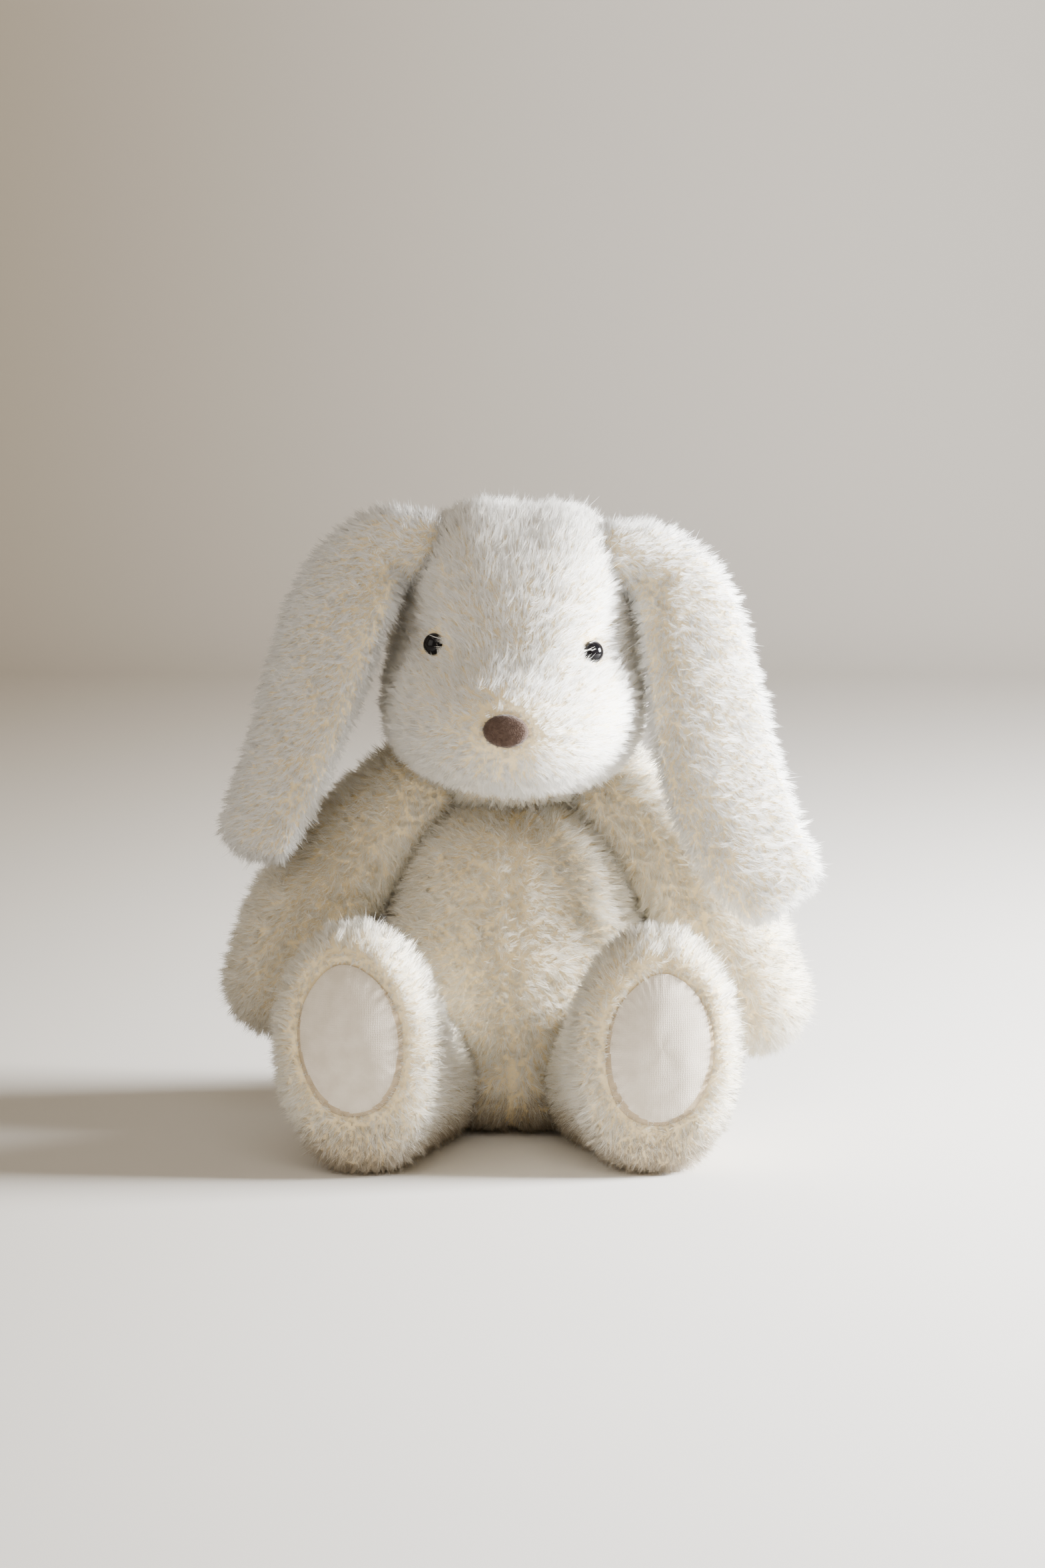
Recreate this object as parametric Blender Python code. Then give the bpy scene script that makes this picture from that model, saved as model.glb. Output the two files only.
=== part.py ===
"""A seated, lop-eared plush rabbit, about 275 mm tall without its pile.

Every sewn panel, stuffing, eye, washer, pad and thread is its own object. Lengths are in millimetres here and
become metres when a mesh is made. The rabbit faces -Y, +Z is up, and the origin is the middle of the flat seat
panel, on the surface that it sits on. Left and right are the rabbit's own: its left side is +X.
"""

from math import cos, pi, radians, sin

import bmesh
import bpy
import numpy as np
from mathutils import Euler, Matrix, Vector

MM = 0.001
UP = (0.0, 0.0, 1.0)
FORWARD = (0.0, -1.0, 0.0)

# Fabric and clearances
COVER = 3.0  # backing cloth with the root of its pile
STUFFING_GAP = 2.2  # from a cover's inside to the stuffing
SEAM_GAP = 0.4  # between two sewn edges

# Head: lobes blended into one skin, as (centre, radii), upright and relative to the neck
NECK = (0.0, 2.0, 156.0)
HEAD_ROLL = 2.5  # degrees, the crown leans to the rabbit's left
HEAD_YAW = -3.0  # degrees, the nose points slightly to the rabbit's right
HEAD_CENTRE = (0.0, -14.0, 54.0)
HEAD_POLE = (0.0, -0.91, -0.41)  # from the head's centre to the nose, where the face panels meet
HEAD_LOBES = (
    ((0, -6, 69), (48, 48, 46)),  # skull
    ((18, -6, 90), (23, 33, 30)),  # crown, left
    ((-18, -6, 90), (23, 33, 30)),  # crown, right
    ((24, -17, 34), (31, 39, 31)),  # cheek, left
    ((-24, -17, 34), (31, 39, 31)),  # cheek, right
    ((0, -46, 28), (40, 30, 26)),  # muzzle
    ((28, 2, 62), (26, 34, 31)),  # temple, left
    ((-28, 2, 62), (26, 34, 31)),  # temple, right
)
LOBE_BLEND = 5.0
FACE_EDGES = (3.0, 112.0)  # degrees from the head's pole, where the face panels start and where they end

# Face
EYE_PLACE = (34.5, 63.0)  # across from the middle, and above the neck
EYE_RADIUS = 5.0
EYE_HEIGHT = 3.8
EYE_LIFT = 1.3  # the dome's rim over the curved cloth
SHANK_RADIUS = 1.5
SHANK_LENGTH = 12.0
WASHER_RADIUS = 6.5
WASHER_THICKNESS = 1.2
HOLE_CLEARANCE = 0.4
NOSE_HEIGHT_OVER_NECK = 30.0
NOSE_HALF = (10.0, 7.3)
NOSE_THICKNESS = 4.0
NOSE_DOME = 1.2
PAD_LIFT = 0.4  # from the cloth to the back of the nose and of the soles

# Body: a pear of two lobes on a flat seat
BODY_CENTRE = (0.0, 0.0, 70.0)
BODY_LOBES = (
    ((0, 0, 58), (62, 56, 62)),  # belly
    ((0, 3, 108), (48, 43, 42)),  # chest
)
SEAT_EDGE = 140.0  # degrees from the top, where the seat panel begins
NECK_EDGE = 9.0  # degrees from the top, where the side panels stop
STUFFING_FLOOR = 34.0  # the fibre rests on the pellet bag
PELLET_BAG_HALF = (34.0, 29.0, 13.0)
NECK_THREAD_RADIUS = 13.0
NECK_THREAD_HALF = 1.0
NECK_THREAD_DROP = 2.2  # below the neck's pivot

# Limbs and ears: stations along the middle, as (centre, half width, half height)
ARM_STATIONS = {
    "left": (
        ((49, 4, 146), 16, 17),
        ((76, 5, 117), 22, 23),
        ((97, 4, 83), 24, 25),
        ((111, 0, 54), 21, 21),
    ),
    "right": (
        ((-49, 4, 146), 16, 17),
        ((-76, 5, 119), 22, 23),
        ((-95, 4, 89), 24, 25),
        ((-107, 0, 63), 21, 21),
    ),
}
LEG_STATIONS = {
    "left": (
        ((37, -49, 27), 8, 12),
        ((44, -60, 29), 21, 25),
        ((53, -82, 38), 28, 37),
        ((60.5, -101, 50.5), 33, 50.5),
        ((62, -115, 52), 32, 48),
        ((63, -121, 56), 26, 37),
    ),
    "right": (
        ((-37, -49, 27), 8, 12),
        ((-46, -60, 29), 21, 25),
        ((-56, -82, 38), 28, 37),
        ((-64, -101, 51), 33, 51),
        ((-67, -115, 54), 32, 48.5),
        ((-69, -121, 60), 26, 37),
    ),
}
FOOT_FACES = {"left": (0.08, -0.99, 0.08), "right": (-0.22, -0.97, 0.1)}  # where the sole looks
FOOT_TWIST = {"left": -3.0, "right": 9.0}  # degrees, how far the toes lean to the rabbit's left
SOLE_HALF = (22.5, 33.5)
SOLE_THICKNESS = 3.0
SOLE_DOME = 2.0
EAR_STATIONS = {
    "left": (
        ((54, -12, 259), 10, 7),
        ((67.5, -14.5, 252), 15, 8.5),
        ((78.5, -20, 233), 20.5, 9),
        ((86, -27, 197), 23.5, 9),
        ((94, -34, 159), 25.5, 8.5),
        ((107, -40, 128), 23, 8),
        ((119, -42, 112), 20, 7),
    ),
    "right": (
        ((-46, -12, 263), 11, 8),
        ((-61, -13, 259), 17, 10),
        ((-75.5, -17, 240), 25, 10),
        ((-88, -22, 205), 25.5, 9.5),
        ((-101, -27, 166), 22, 8.5),
        ((-115, -30, 134), 18.5, 7),
    ),
}
EAR_FACES = {"left": (0.30, -0.95, 0.0), "right": (-0.70, -0.71, 0.0)}  # where the lining looks
EAR_LAYER_GAP = 0.7

# Tail, label and hand stitching at the back
TAIL_HEIGHT = 34.0
TAIL_RADIUS = 16.0
TAIL_FLATNESS = 0.8  # of the half that is sewn to the body
LABEL_SIZE = (12.0, 0.6, 20.0)
LABEL_PLACE = (26.0, 20.0)  # across from the middle, and above the floor
TRIM_GAP = 0.5  # from the body's cloth to what is sewn on it
STITCH_COUNT = 9
STITCH_SPAN = (62.0, 112.0)  # heights of the hand-closed stretch of the back seam
STITCH_RADIUS = 0.45
STITCH_HALF_WIDTH = 2.0

SIDES = {"left": 1, "right": -1}
MATERIALS = {
    "pile_fabric": ((0.86, 0.83, 0.77), 0.95),
    "ear_lining_fabric": ((0.87, 0.84, 0.79), 0.95),
    "sole_fabric": ((0.82, 0.78, 0.73), 0.9),
    "stuffing_fibre": ((0.93, 0.93, 0.92), 1.0),
    "pellet_bag_cloth": ((0.72, 0.70, 0.66), 0.9),
    "eye_plastic": ((0.012, 0.012, 0.014), 0.12),
    "washer_plastic": ((0.75, 0.74, 0.70), 0.5),
    "nose_felt": ((0.065, 0.040, 0.028), 0.85),
    "thread": ((0.80, 0.77, 0.70), 0.8),
    "label_satin": ((0.88, 0.87, 0.85), 0.5),
}


# ---------------------------------------------------------------- scene and objects


def clear_scene():
    for obj in list(bpy.data.objects):
        bpy.data.objects.remove(obj, do_unlink=True)


def material(name):
    """The named Principled material, made the first time that it is asked for."""
    made = bpy.data.materials.get(name)
    if made:
        return made
    colour, roughness = MATERIALS[name]
    made = bpy.data.materials.new(name)
    made.use_nodes = True
    shader = made.node_tree.nodes["Principled BSDF"]
    shader.inputs["Base Color"].default_value = (*colour, 1.0)
    shader.inputs["Roughness"].default_value = roughness
    made.diffuse_color = (*colour, 1.0)
    return made


def pivot_empty(name, place, rotation=(0.0, 0.0, 0.0), parent=None):
    """An empty on a joint's axis; the pieces that turn together hang from it."""
    empty = bpy.data.objects.new(name, None)
    bpy.context.scene.collection.objects.link(empty)
    empty.location = Vector(place) * MM
    empty.rotation_euler = Euler([radians(a) for a in rotation])
    bpy.context.view_layer.update()
    if parent:
        empty.parent = parent
        empty.matrix_parent_inverse = parent.matrix_world.inverted()
        bpy.context.view_layer.update()
    return empty


def add_node(name, points, faces, material_name, pivot, upright=True):
    """One object of a closed mesh. Points are in the rabbit's frame, or in the pivot's when not upright."""
    mesh = bpy.data.meshes.new(name)
    local = np.asarray(points, float) * MM
    if upright:
        to_pivot = np.array(pivot.matrix_world.inverted())
        local = local @ to_pivot[:3, :3].T + to_pivot[:3, 3]
    mesh.from_pydata(local.tolist(), [], [list(face) for face in faces])
    bm = bmesh.new()
    bm.from_mesh(mesh)
    bmesh.ops.recalc_face_normals(bm, faces=bm.faces)
    bm.to_mesh(mesh)
    bm.free()
    mesh.shade_smooth()
    mesh.set_sharp_from_angle(angle=radians(50))
    mesh.materials.append(material(material_name))
    obj = bpy.data.objects.new(name, mesh)
    bpy.context.scene.collection.objects.link(obj)
    obj.parent = pivot
    return obj


def cut(target, cutter):
    """Cuts a closed helper out of the target and keeps the helper out of the model."""
    boolean = target.modifiers.new("cut_" + cutter.name, "BOOLEAN")
    boolean.operation = "DIFFERENCE"
    boolean.object = cutter
    cutter.hide_render = True
    cutter.display_type = "WIRE"


# ---------------------------------------------------------------- blended lobes


def field(points, lobes):
    """About the distance outside the blended lobes, negative inside."""
    total = np.zeros(points.shape[:-1])
    for centre, radii in lobes:
        radii = np.array(radii, float)
        reach = np.linalg.norm((points - np.array(centre, float)) / radii, axis=-1)
        total += np.exp(-(reach - 1.0) * radii.min() / LOBE_BLEND)
    return -LOBE_BLEND * np.log(np.maximum(total, 1e-300))


def skin_reach(start, directions, lobes, farthest=200.0):
    """How far each ray from a point inside travels to the skin, by halving."""
    start = np.asarray(start, float)
    near = np.zeros(directions.shape[:-1])
    far = np.full(directions.shape[:-1], farthest)
    for _ in range(40):
        middle = (near + far) / 2
        inside = field(start + directions * middle[..., None], lobes) < 0
        near = np.where(inside, middle, near)
        far = np.where(inside, far, middle)
    return near


def skin_normal(point, lobes):
    step = 0.01
    point = np.asarray(point, float)
    slopes = [
        float(field(point + step * axis, lobes) - field(point - step * axis, lobes))
        for axis in np.eye(3)
    ]
    return np.array(slopes) / np.linalg.norm(slopes)


def lobed_skin(centre, lobes, pole, floor=None):
    """A function of (angle around the pole axis, angle from the pole, depth under the skin), in degrees and mm.

    The pole axis lies in the plane x = 0, and floor is a height that the shape sits on.
    """
    axis = np.array(pole, float) / np.linalg.norm(pole)
    side = np.array((1.0, 0.0, 0.0))
    rise = np.cross(axis, side)

    def place(around, down, depth):
        around, down = np.radians(around), np.radians(down)
        spread = np.cos(around)[..., None] * side + np.sin(around)[..., None] * rise
        directions = np.cos(down)[..., None] * axis + np.sin(down)[..., None] * spread
        reach = skin_reach(centre, directions, lobes) - depth
        points = np.array(centre, float) + directions * reach[..., None]
        if floor is not None:
            points[..., 2] = np.maximum(points[..., 2], floor + depth)
        return points

    return place


# ---------------------------------------------------------------- closed meshes from grids


def shell_from_grids(outer, inner):
    """A closed slab between two grids of points of the same shape."""
    rows, columns = outer.shape[:2]
    points = np.concatenate([outer.reshape(-1, 3), inner.reshape(-1, 3)])
    shift = rows * columns
    faces = []
    for i in range(rows - 1):
        for j in range(columns - 1):
            a, b = i * columns + j, (i + 1) * columns + j
            faces.append((a, a + 1, b + 1, b))
            faces.append((a + shift, b + shift, b + 1 + shift, a + 1 + shift))
    edge = [j for j in range(columns)]
    edge += [i * columns + columns - 1 for i in range(1, rows)]
    edge += [(rows - 1) * columns + j for j in range(columns - 2, -1, -1)]
    edge += [i * columns for i in range(rows - 2, 0, -1)]
    for a, b in zip(edge, edge[1:] + edge[:1]):
        faces.append((a, b, b + shift, a + shift))
    return points, faces


def closed_rings(rings, start_pole, end_pole):
    """A closed skin over whole rings of points, with a single point at each end."""
    count = len(rings[0])
    points = [start_pole] + [p for ring in rings for p in ring] + [end_pole]
    faces = []
    for j in range(count):
        k = (j + 1) % count
        faces.append((0, 1 + k, 1 + j))
        for i in range(len(rings) - 1):
            a, b = 1 + i * count, 1 + (i + 1) * count
            faces.append((a + j, a + k, b + k, b + j))
        last = 1 + (len(rings) - 1) * count
        faces.append((last + j, last + k, len(points) - 1))
    return np.array(points), faces


def lobed_panel(place, around, down, counts):
    """A sewn panel: the part of a lobed skin between two angles each way, less half a seam at each edge."""
    rows = np.linspace(down[0], down[1], counts[1])
    trim = np.degrees(SEAM_GAP / 2 / (50.0 * np.sin(np.radians(rows))))
    share = np.linspace(0.0, 1.0, counts[0])
    first, last = around[0] + trim, around[1] - trim
    angles = first[:, None] + (last - first)[:, None] * share[None, :]
    downs = np.repeat(rows[:, None], counts[0], axis=1)
    return shell_from_grids(place(angles, downs, 0.0), place(angles, downs, COVER))


def lobed_cap(place, edge, counts):
    """A round panel over the far pole, from the edge angle on."""
    angles = np.arange(counts[0]) * 360.0 / counts[0]
    downs = np.linspace(edge, 180.0, counts[1] + 1)[:-1]
    outer = [place(angles, np.full(counts[0], d), 0.0) for d in downs[::-1]]
    inner = [place(angles, np.full(counts[0], d), COVER) for d in downs]
    pole = [place(np.zeros(1), np.full(1, 180.0), depth)[0] for depth in (0.0, COVER)]
    return closed_rings(outer + inner, *pole)


def lobed_solid(place, depth, counts):
    angles = np.arange(counts[0]) * 360.0 / counts[0]
    downs = np.linspace(0.0, 180.0, counts[1] + 1)
    rings = [place(angles, np.full(counts[0], d), depth) for d in downs[1:-1]]
    poles = [place(np.zeros(1), np.full(1, d), depth)[0] for d in (0.0, 180.0)]
    return closed_rings(rings, *poles)


# ---------------------------------------------------------------- limbs


def curve_through(values, share):
    """A smooth curve through the given values, evenly spaced from share 0 to 1 (Catmull-Rom)."""
    values = np.asarray(values, float)
    padded = np.concatenate([2 * values[:1] - values[1:2], values, 2 * values[-1:] - values[-2:-1]])
    position = np.clip(share, 0.0, 1.0) * (len(values) - 1)
    index = min(int(position), len(values) - 2)
    t = position - index
    a, b, c, d = padded[index : index + 4]
    return 0.5 * (2 * b + (c - a) * t + (2 * a - 5 * b + 4 * c - d) * t**2 + (3 * b - a - 3 * c + d) * t**3)


def limb_frame(centres, share, up_hint, facing=None):
    """The middle of a limb at a share of its length, with the directions along and across it.

    facing holds every section square to one direction, where it would otherwise follow the curve.
    """
    step = 0.01
    middle = curve_through(centres, share)
    ahead = curve_through(centres, min(share + step, 1.0)) - curve_through(centres, max(share - step, 0.0))
    if facing is not None:
        ahead = np.array(facing, float)
    ahead /= np.linalg.norm(ahead)
    across = np.cross(up_hint, ahead)
    across /= np.linalg.norm(across)
    return middle, ahead, across, np.cross(ahead, across)


def limb_rings(stations, angles, depth, counts, up_hint, facing=None, twist=0.0, floor=None, lift=0.0):
    """Rings of points along a limb with domed ends; depth sinks them under the skin.

    facing leaves the far end flat and square to that direction. twist turns the far end's section, in degrees,
    floor is a height that no point goes below, and lift moves each section up its own thickness.
    """
    round_end = facing is None
    up_hint = np.array(up_hint, float)
    centres = [s[0] for s in stations]
    halves = np.array([s[1:] for s in stations], float)
    along, dome = counts
    samples = [(0.0, -sin(a), cos(a)) for a in np.linspace(pi / 2, 0, dome + 1)[1:-1]]
    samples += [(s, 0.0, 1.0) for s in np.linspace(0.0, 1.0, along)]
    if round_end:
        samples += [(1.0, sin(a), cos(a)) for a in np.linspace(0, pi / 2, dome + 1)[1:-1]]
    rings = []
    for share, push, shrink in samples:
        middle, ahead, across, up = limb_frame(centres, share, up_hint, facing)
        half = np.maximum(curve_through(halves, share) - depth, 0.5)
        turn = radians(twist) * share**2
        across, up = across * cos(turn) + up * sin(turn), up * cos(turn) - across * sin(turn)
        middle = middle + ahead * push * half.min() + up * lift
        if not round_end:
            middle = middle - ahead * depth * share
        ring = [middle + shrink * (half[0] * cos(a) * across + half[1] * sin(a) * up) for a in angles]
        rings.append(np.array(ring))
    tips = []
    for share, way in ((0.0, -1.0), (1.0, 1.0)):
        middle, ahead, _, up = limb_frame(centres, share, up_hint, facing)
        half = np.maximum(curve_through(halves, share) - depth, 0.5)
        reach = half.min() if round_end or share == 0.0 else -depth
        tips.append(middle + ahead * way * reach + up * lift)
    if floor is not None:
        rings = [np.column_stack([r[:, 0], r[:, 1], np.maximum(r[:, 2], floor + depth)]) for r in rings]
    return rings, tips[0], tips[1]


def limb_panel(stations, half_turn, counts, up_hint, **options):
    """Half of a limb's cover: the half circle that starts at the given angle."""
    trim = SEAM_GAP / 2 / 22.0
    angles = np.linspace(half_turn + trim, half_turn + pi - trim, counts[0])
    outer, _, _ = limb_rings(stations, angles, 0.0, counts[1:], up_hint, **options)
    inner, _, _ = limb_rings(stations, angles, COVER, counts[1:], up_hint, **options)
    return shell_from_grids(np.array(outer), np.array(inner))


def limb_stuffing(stations, counts, up_hint, **options):
    angles = np.arange(counts[0]) * 2 * pi / counts[0]
    rings, start, end = limb_rings(stations, angles, COVER + STUFFING_GAP, counts[1:], up_hint, **options)
    return closed_rings(rings, start, end)


# ---------------------------------------------------------------- turned and laid pieces


def turned(profile, count, place, axis):
    """A closed solid turned about an axis. The profile is (radius, height) from one end of the axis to the other."""
    basis = np.array(Vector(axis).to_track_quat("Z", "Y").to_matrix())
    rings = []
    for radius, height in profile[1:-1]:
        turn = [2 * pi * j / count for j in range(count)]
        ring = np.array([(radius * cos(a), radius * sin(a), height) for a in turn])
        rings.append(ring @ basis.T + np.array(place))
    poles = [np.array((0.0, 0.0, profile[i][1])) @ basis.T + np.array(place) for i in (0, -1)]
    return closed_rings(rings, *poles)


def oval_pad(half, thickness, dome, place, axis, twist=0.0):
    """A stitched oval pad with a soft edge and a crowned face, its back flat on the place given."""
    profile = [(0.0, 0.0), (0.6, 0.0), (0.94, 0.0), (1.0, 0.35), (0.97, 0.8), (0.85, 1.0), (0.5, 1.0), (0.0, 1.0)]
    basis = np.array(Vector(axis).to_track_quat("Z", "Y").to_matrix())
    turn = np.array(Matrix.Rotation(radians(twist), 3, "Z"))
    count = 28
    rings = []
    for share, level in profile[1:-1]:
        height = level * (thickness + dome * (1 - share**2))
        angles = [2 * pi * j / count for j in range(count)]
        ring = np.array([(half[0] * share * cos(a), half[1] * share * sin(a), height) for a in angles])
        rings.append(ring @ turn.T @ basis.T + np.array(place))
    poles = [np.array((0.0, 0.0, h)) @ basis.T + np.array(place) for h in (0.0, thickness + dome)]
    return closed_rings(rings, *poles)


# ---------------------------------------------------------------- the rabbit's pieces


def build_body(pivot):
    place = lobed_skin(BODY_CENTRE, BODY_LOBES, UP, floor=0.0)
    seat_trim = np.degrees(SEAM_GAP / 2 / 60.0)
    down = (NECK_EDGE, SEAT_EDGE - seat_trim)
    quarters = {
        "body_front_left": (270.0, 360.0),
        "body_back_left": (0.0, 90.0),
        "body_back_right": (90.0, 180.0),
        "body_front_right": (180.0, 270.0),
    }
    for name, around in quarters.items():
        add_node(name, *lobed_panel(place, around, down, (8, 11)), "pile_fabric", pivot)
    add_node("seat_panel", *lobed_cap(place, SEAT_EDGE + seat_trim, (24, 3)), "pile_fabric", pivot)

    stuffing = lobed_skin(BODY_CENTRE, BODY_LOBES, UP, floor=STUFFING_FLOOR - COVER - STUFFING_GAP)
    add_node("body_stuffing", *lobed_solid(stuffing, COVER + STUFFING_GAP, (20, 12)), "stuffing_fibre", pivot)
    wide, deep, tall = PELLET_BAG_HALF
    angles = np.linspace(0, pi, 9)
    bag = turned([(sin(a) ** 0.7, -cos(a)) for a in angles], 18, (0, 0, 0), UP)
    bag_middle = COVER + STUFFING_GAP + tall
    add_node("pellet_bag", bag[0] * (wide, deep, tall) + (0, 0, bag_middle), bag[1], "pellet_bag_cloth", pivot)


def back_spot(across, height):
    """The point on the body's back skin at a place across and above the floor, and the way it looks."""
    start = np.array((across, 0.0, height))
    spot = start + (0.0, skin_reach(start, np.array([[0.0, 1.0, 0.0]]), BODY_LOBES)[0], 0.0)
    return spot, skin_normal(spot, BODY_LOBES)


def build_tail(pivot):
    """A pompom that is flatter where it is sewn to the body."""
    spot, out = back_spot(0.0, TAIL_HEIGHT)
    count = 9
    profile = []
    for k in range(count + 1):
        angle = pi * k / count
        flatness = TAIL_FLATNESS if k < count / 2 else 1.0
        profile.append((TAIL_RADIUS * sin(angle), -TAIL_RADIUS * cos(angle) * flatness))
    place = spot + out * (TAIL_RADIUS * TAIL_FLATNESS + TRIM_GAP)
    add_node("tail", *turned(profile, 16, place, out), "pile_fabric", pivot)


def build_back_trim(pivot):
    """The hand-sewn closing of the back seam, as one zigzag thread, and a blank care label."""
    curve = bpy.data.curves.new("closing_stitches", "CURVE")
    curve.dimensions = "3D"
    curve.bevel_depth = STITCH_RADIUS * MM
    curve.bevel_resolution = 1
    curve.use_fill_caps = True
    spline = curve.splines.new("POLY")
    spline.points.add(2 * STITCH_COUNT - 1)
    for k, point in enumerate(spline.points):
        height = STITCH_SPAN[0] + (STITCH_SPAN[1] - STITCH_SPAN[0]) * k / (2 * STITCH_COUNT - 1)
        side = STITCH_HALF_WIDTH * (1 if (k + 1) // 2 % 2 else -1)
        spot, out = back_spot(side, height)
        point.co = (*((spot + out * 2 * (STITCH_RADIUS + TRIM_GAP / 2)) * MM), 1.0)
    curve.materials.append(material("thread"))
    stitches = bpy.data.objects.new("closing_stitches", curve)
    bpy.context.scene.collection.objects.link(stitches)
    stitches.parent = pivot

    wide, thick, tall = (size / 2 for size in LABEL_SIZE)
    corners = [(x, y, z) for x in (-wide, wide) for y in (-tall, tall) for z in (-thick, thick)]
    spot, out = back_spot(*LABEL_PLACE)
    turn = np.array(Vector(out).to_track_quat("Z", "Y").to_matrix())
    points = np.array(corners) @ turn.T + spot + out * (thick + 2 * TRIM_GAP)
    faces = [(0, 1, 3, 2), (4, 6, 7, 5), (0, 4, 5, 1), (2, 3, 7, 6), (0, 2, 6, 4), (1, 5, 7, 3)]
    add_node("care_label", points, faces, "label_satin", pivot)


def build_neck(pivot):
    """The gathered thread that draws the neck together, as a ring between body and head."""
    major, minor = NECK_THREAD_RADIUS, NECK_THREAD_HALF
    rings = 24
    section = 6
    height = NECK[2] - NECK_THREAD_DROP
    points = []
    faces = []
    for i in range(rings):
        a = 2 * pi * i / rings
        for j in range(section):
            b = 2 * pi * j / section
            radius = major + minor * cos(b)
            points.append((radius * cos(a) + NECK[0], radius * sin(a) + NECK[1], minor * sin(b) + height))
            k, n = (i + 1) % rings, (j + 1) % section
            faces.append((i * section + j, k * section + j, k * section + n, i * section + n))
    add_node("neck_thread", points, faces, "thread", pivot)


def build_head(pivot):
    """The head's panels and stuffing, in the pivot's own tilted frame."""
    place = lobed_skin(HEAD_CENTRE, HEAD_LOBES, HEAD_POLE)
    start, end = FACE_EDGES
    trim = np.degrees(SEAM_GAP / 2 / 55.0)
    down = (start, end - trim)
    left = add_node("face_left", *lobed_panel(place, (-90.0, 90.0), down, (13, 10)), "pile_fabric", pivot, False)
    right = add_node("face_right", *lobed_panel(place, (90.0, 270.0), down, (13, 10)), "pile_fabric", pivot, False)
    add_node("head_back", *lobed_cap(place, end + trim, (24, 5)), "pile_fabric", pivot, False)
    solid = lobed_solid(place, COVER + STUFFING_GAP, (20, 12))
    stuffing = add_node("head_stuffing", *solid, "stuffing_fibre", pivot, False)
    for side, sign in SIDES.items():
        build_eye(side, sign, pivot, left if sign > 0 else right, stuffing)
    build_nose(pivot)


def build_eye(side, sign, pivot, face, stuffing):
    """A domed eye whose shank passes the face cloth to a locking washer behind it."""
    start = np.array((sign * EYE_PLACE[0], HEAD_CENTRE[1], EYE_PLACE[1]))
    spot = start + np.array((0, -1, 0)) * skin_reach(start, np.array([[0.0, -1.0, 0.0]]), HEAD_LOBES)[0]
    out = skin_normal(spot, HEAD_LOBES)
    steps = np.linspace(0, pi / 2, 6)
    dome = [(EYE_RADIUS * cos(a), EYE_LIFT + EYE_HEIGHT * sin(a)) for a in steps]
    profile = [(0.0, -SHANK_LENGTH), (SHANK_RADIUS * 0.6, -SHANK_LENGTH), (SHANK_RADIUS, 0.8 - SHANK_LENGTH)]
    profile += [(SHANK_RADIUS, EYE_LIFT)] + dome
    add_node(f"eye_{side}", *turned(profile, 20, spot, out), "eye_plastic", pivot, False)

    hole = SHANK_RADIUS + HOLE_CLEARANCE
    back = -COVER - STUFFING_GAP
    washer = [(hole, back), (WASHER_RADIUS, back), (WASHER_RADIUS, back - WASHER_THICKNESS), (hole, back - WASHER_THICKNESS)]
    add_node(f"eye_washer_{side}", *turned_ring(washer, 20, spot, out), "washer_plastic", pivot, False)

    bore = [(0.0, -SHANK_LENGTH - 1.0), (hole, -SHANK_LENGTH - 1.0), (hole, 3.0), (0.0, 3.0)]
    cut(face, add_node(f"bore_{side}", *turned(bore, 20, spot, out), "thread", pivot, False))
    pocket_radius = WASHER_RADIUS + HOLE_CLEARANCE
    floor = back - WASHER_THICKNESS - HOLE_CLEARANCE
    pocket = [(0.0, -SHANK_LENGTH - 0.8), (hole, -SHANK_LENGTH - 0.8), (hole, floor)]
    pocket += [(pocket_radius, floor), (pocket_radius, 3.0), (0.0, 3.0)]
    cut(stuffing, add_node(f"pocket_{side}", *turned(pocket, 20, spot, out), "thread", pivot, False))


def turned_ring(section, count, place, axis):
    """A closed ring turned from a closed section of (radius, height)."""
    basis = np.array(Vector(axis).to_track_quat("Z", "Y").to_matrix())
    size = len(section)
    points = []
    faces = []
    for i in range(count):
        a = 2 * pi * i / count
        points += [(r * cos(a), r * sin(a), h) for r, h in section]
        for j in range(size):
            k, n = (i + 1) % count, (j + 1) % size
            faces.append((i * size + j, k * size + j, k * size + n, i * size + n))
    return np.array(points) @ basis.T + np.array(place), faces


def build_nose(pivot):
    start = np.array((0.0, HEAD_CENTRE[1], NOSE_HEIGHT_OVER_NECK))
    spot = start + np.array((0, -1, 0)) * skin_reach(start, np.array([[0.0, -1.0, 0.0]]), HEAD_LOBES)[0]
    out = skin_normal(spot, HEAD_LOBES)
    lifted = spot + out * PAD_LIFT
    add_node("nose", *oval_pad(NOSE_HALF, NOSE_THICKNESS, NOSE_DOME, lifted, out), "nose_felt", pivot, False)


def build_arm(side, pivot):
    stations = ARM_STATIONS[side]
    for name, start in (("arm_outer", 0.0), ("arm_inner", pi)):
        start = start if side == "right" else pi - start
        panel = limb_panel(stations, start, (8, 6, 4), FORWARD)
        add_node(f"{name}_{side}", *panel, "pile_fabric", pivot)
    stuffing = limb_stuffing(stations, (12, 6, 3), FORWARD)
    add_node(f"arm_stuffing_{side}", *stuffing, "stuffing_fibre", pivot)


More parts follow.
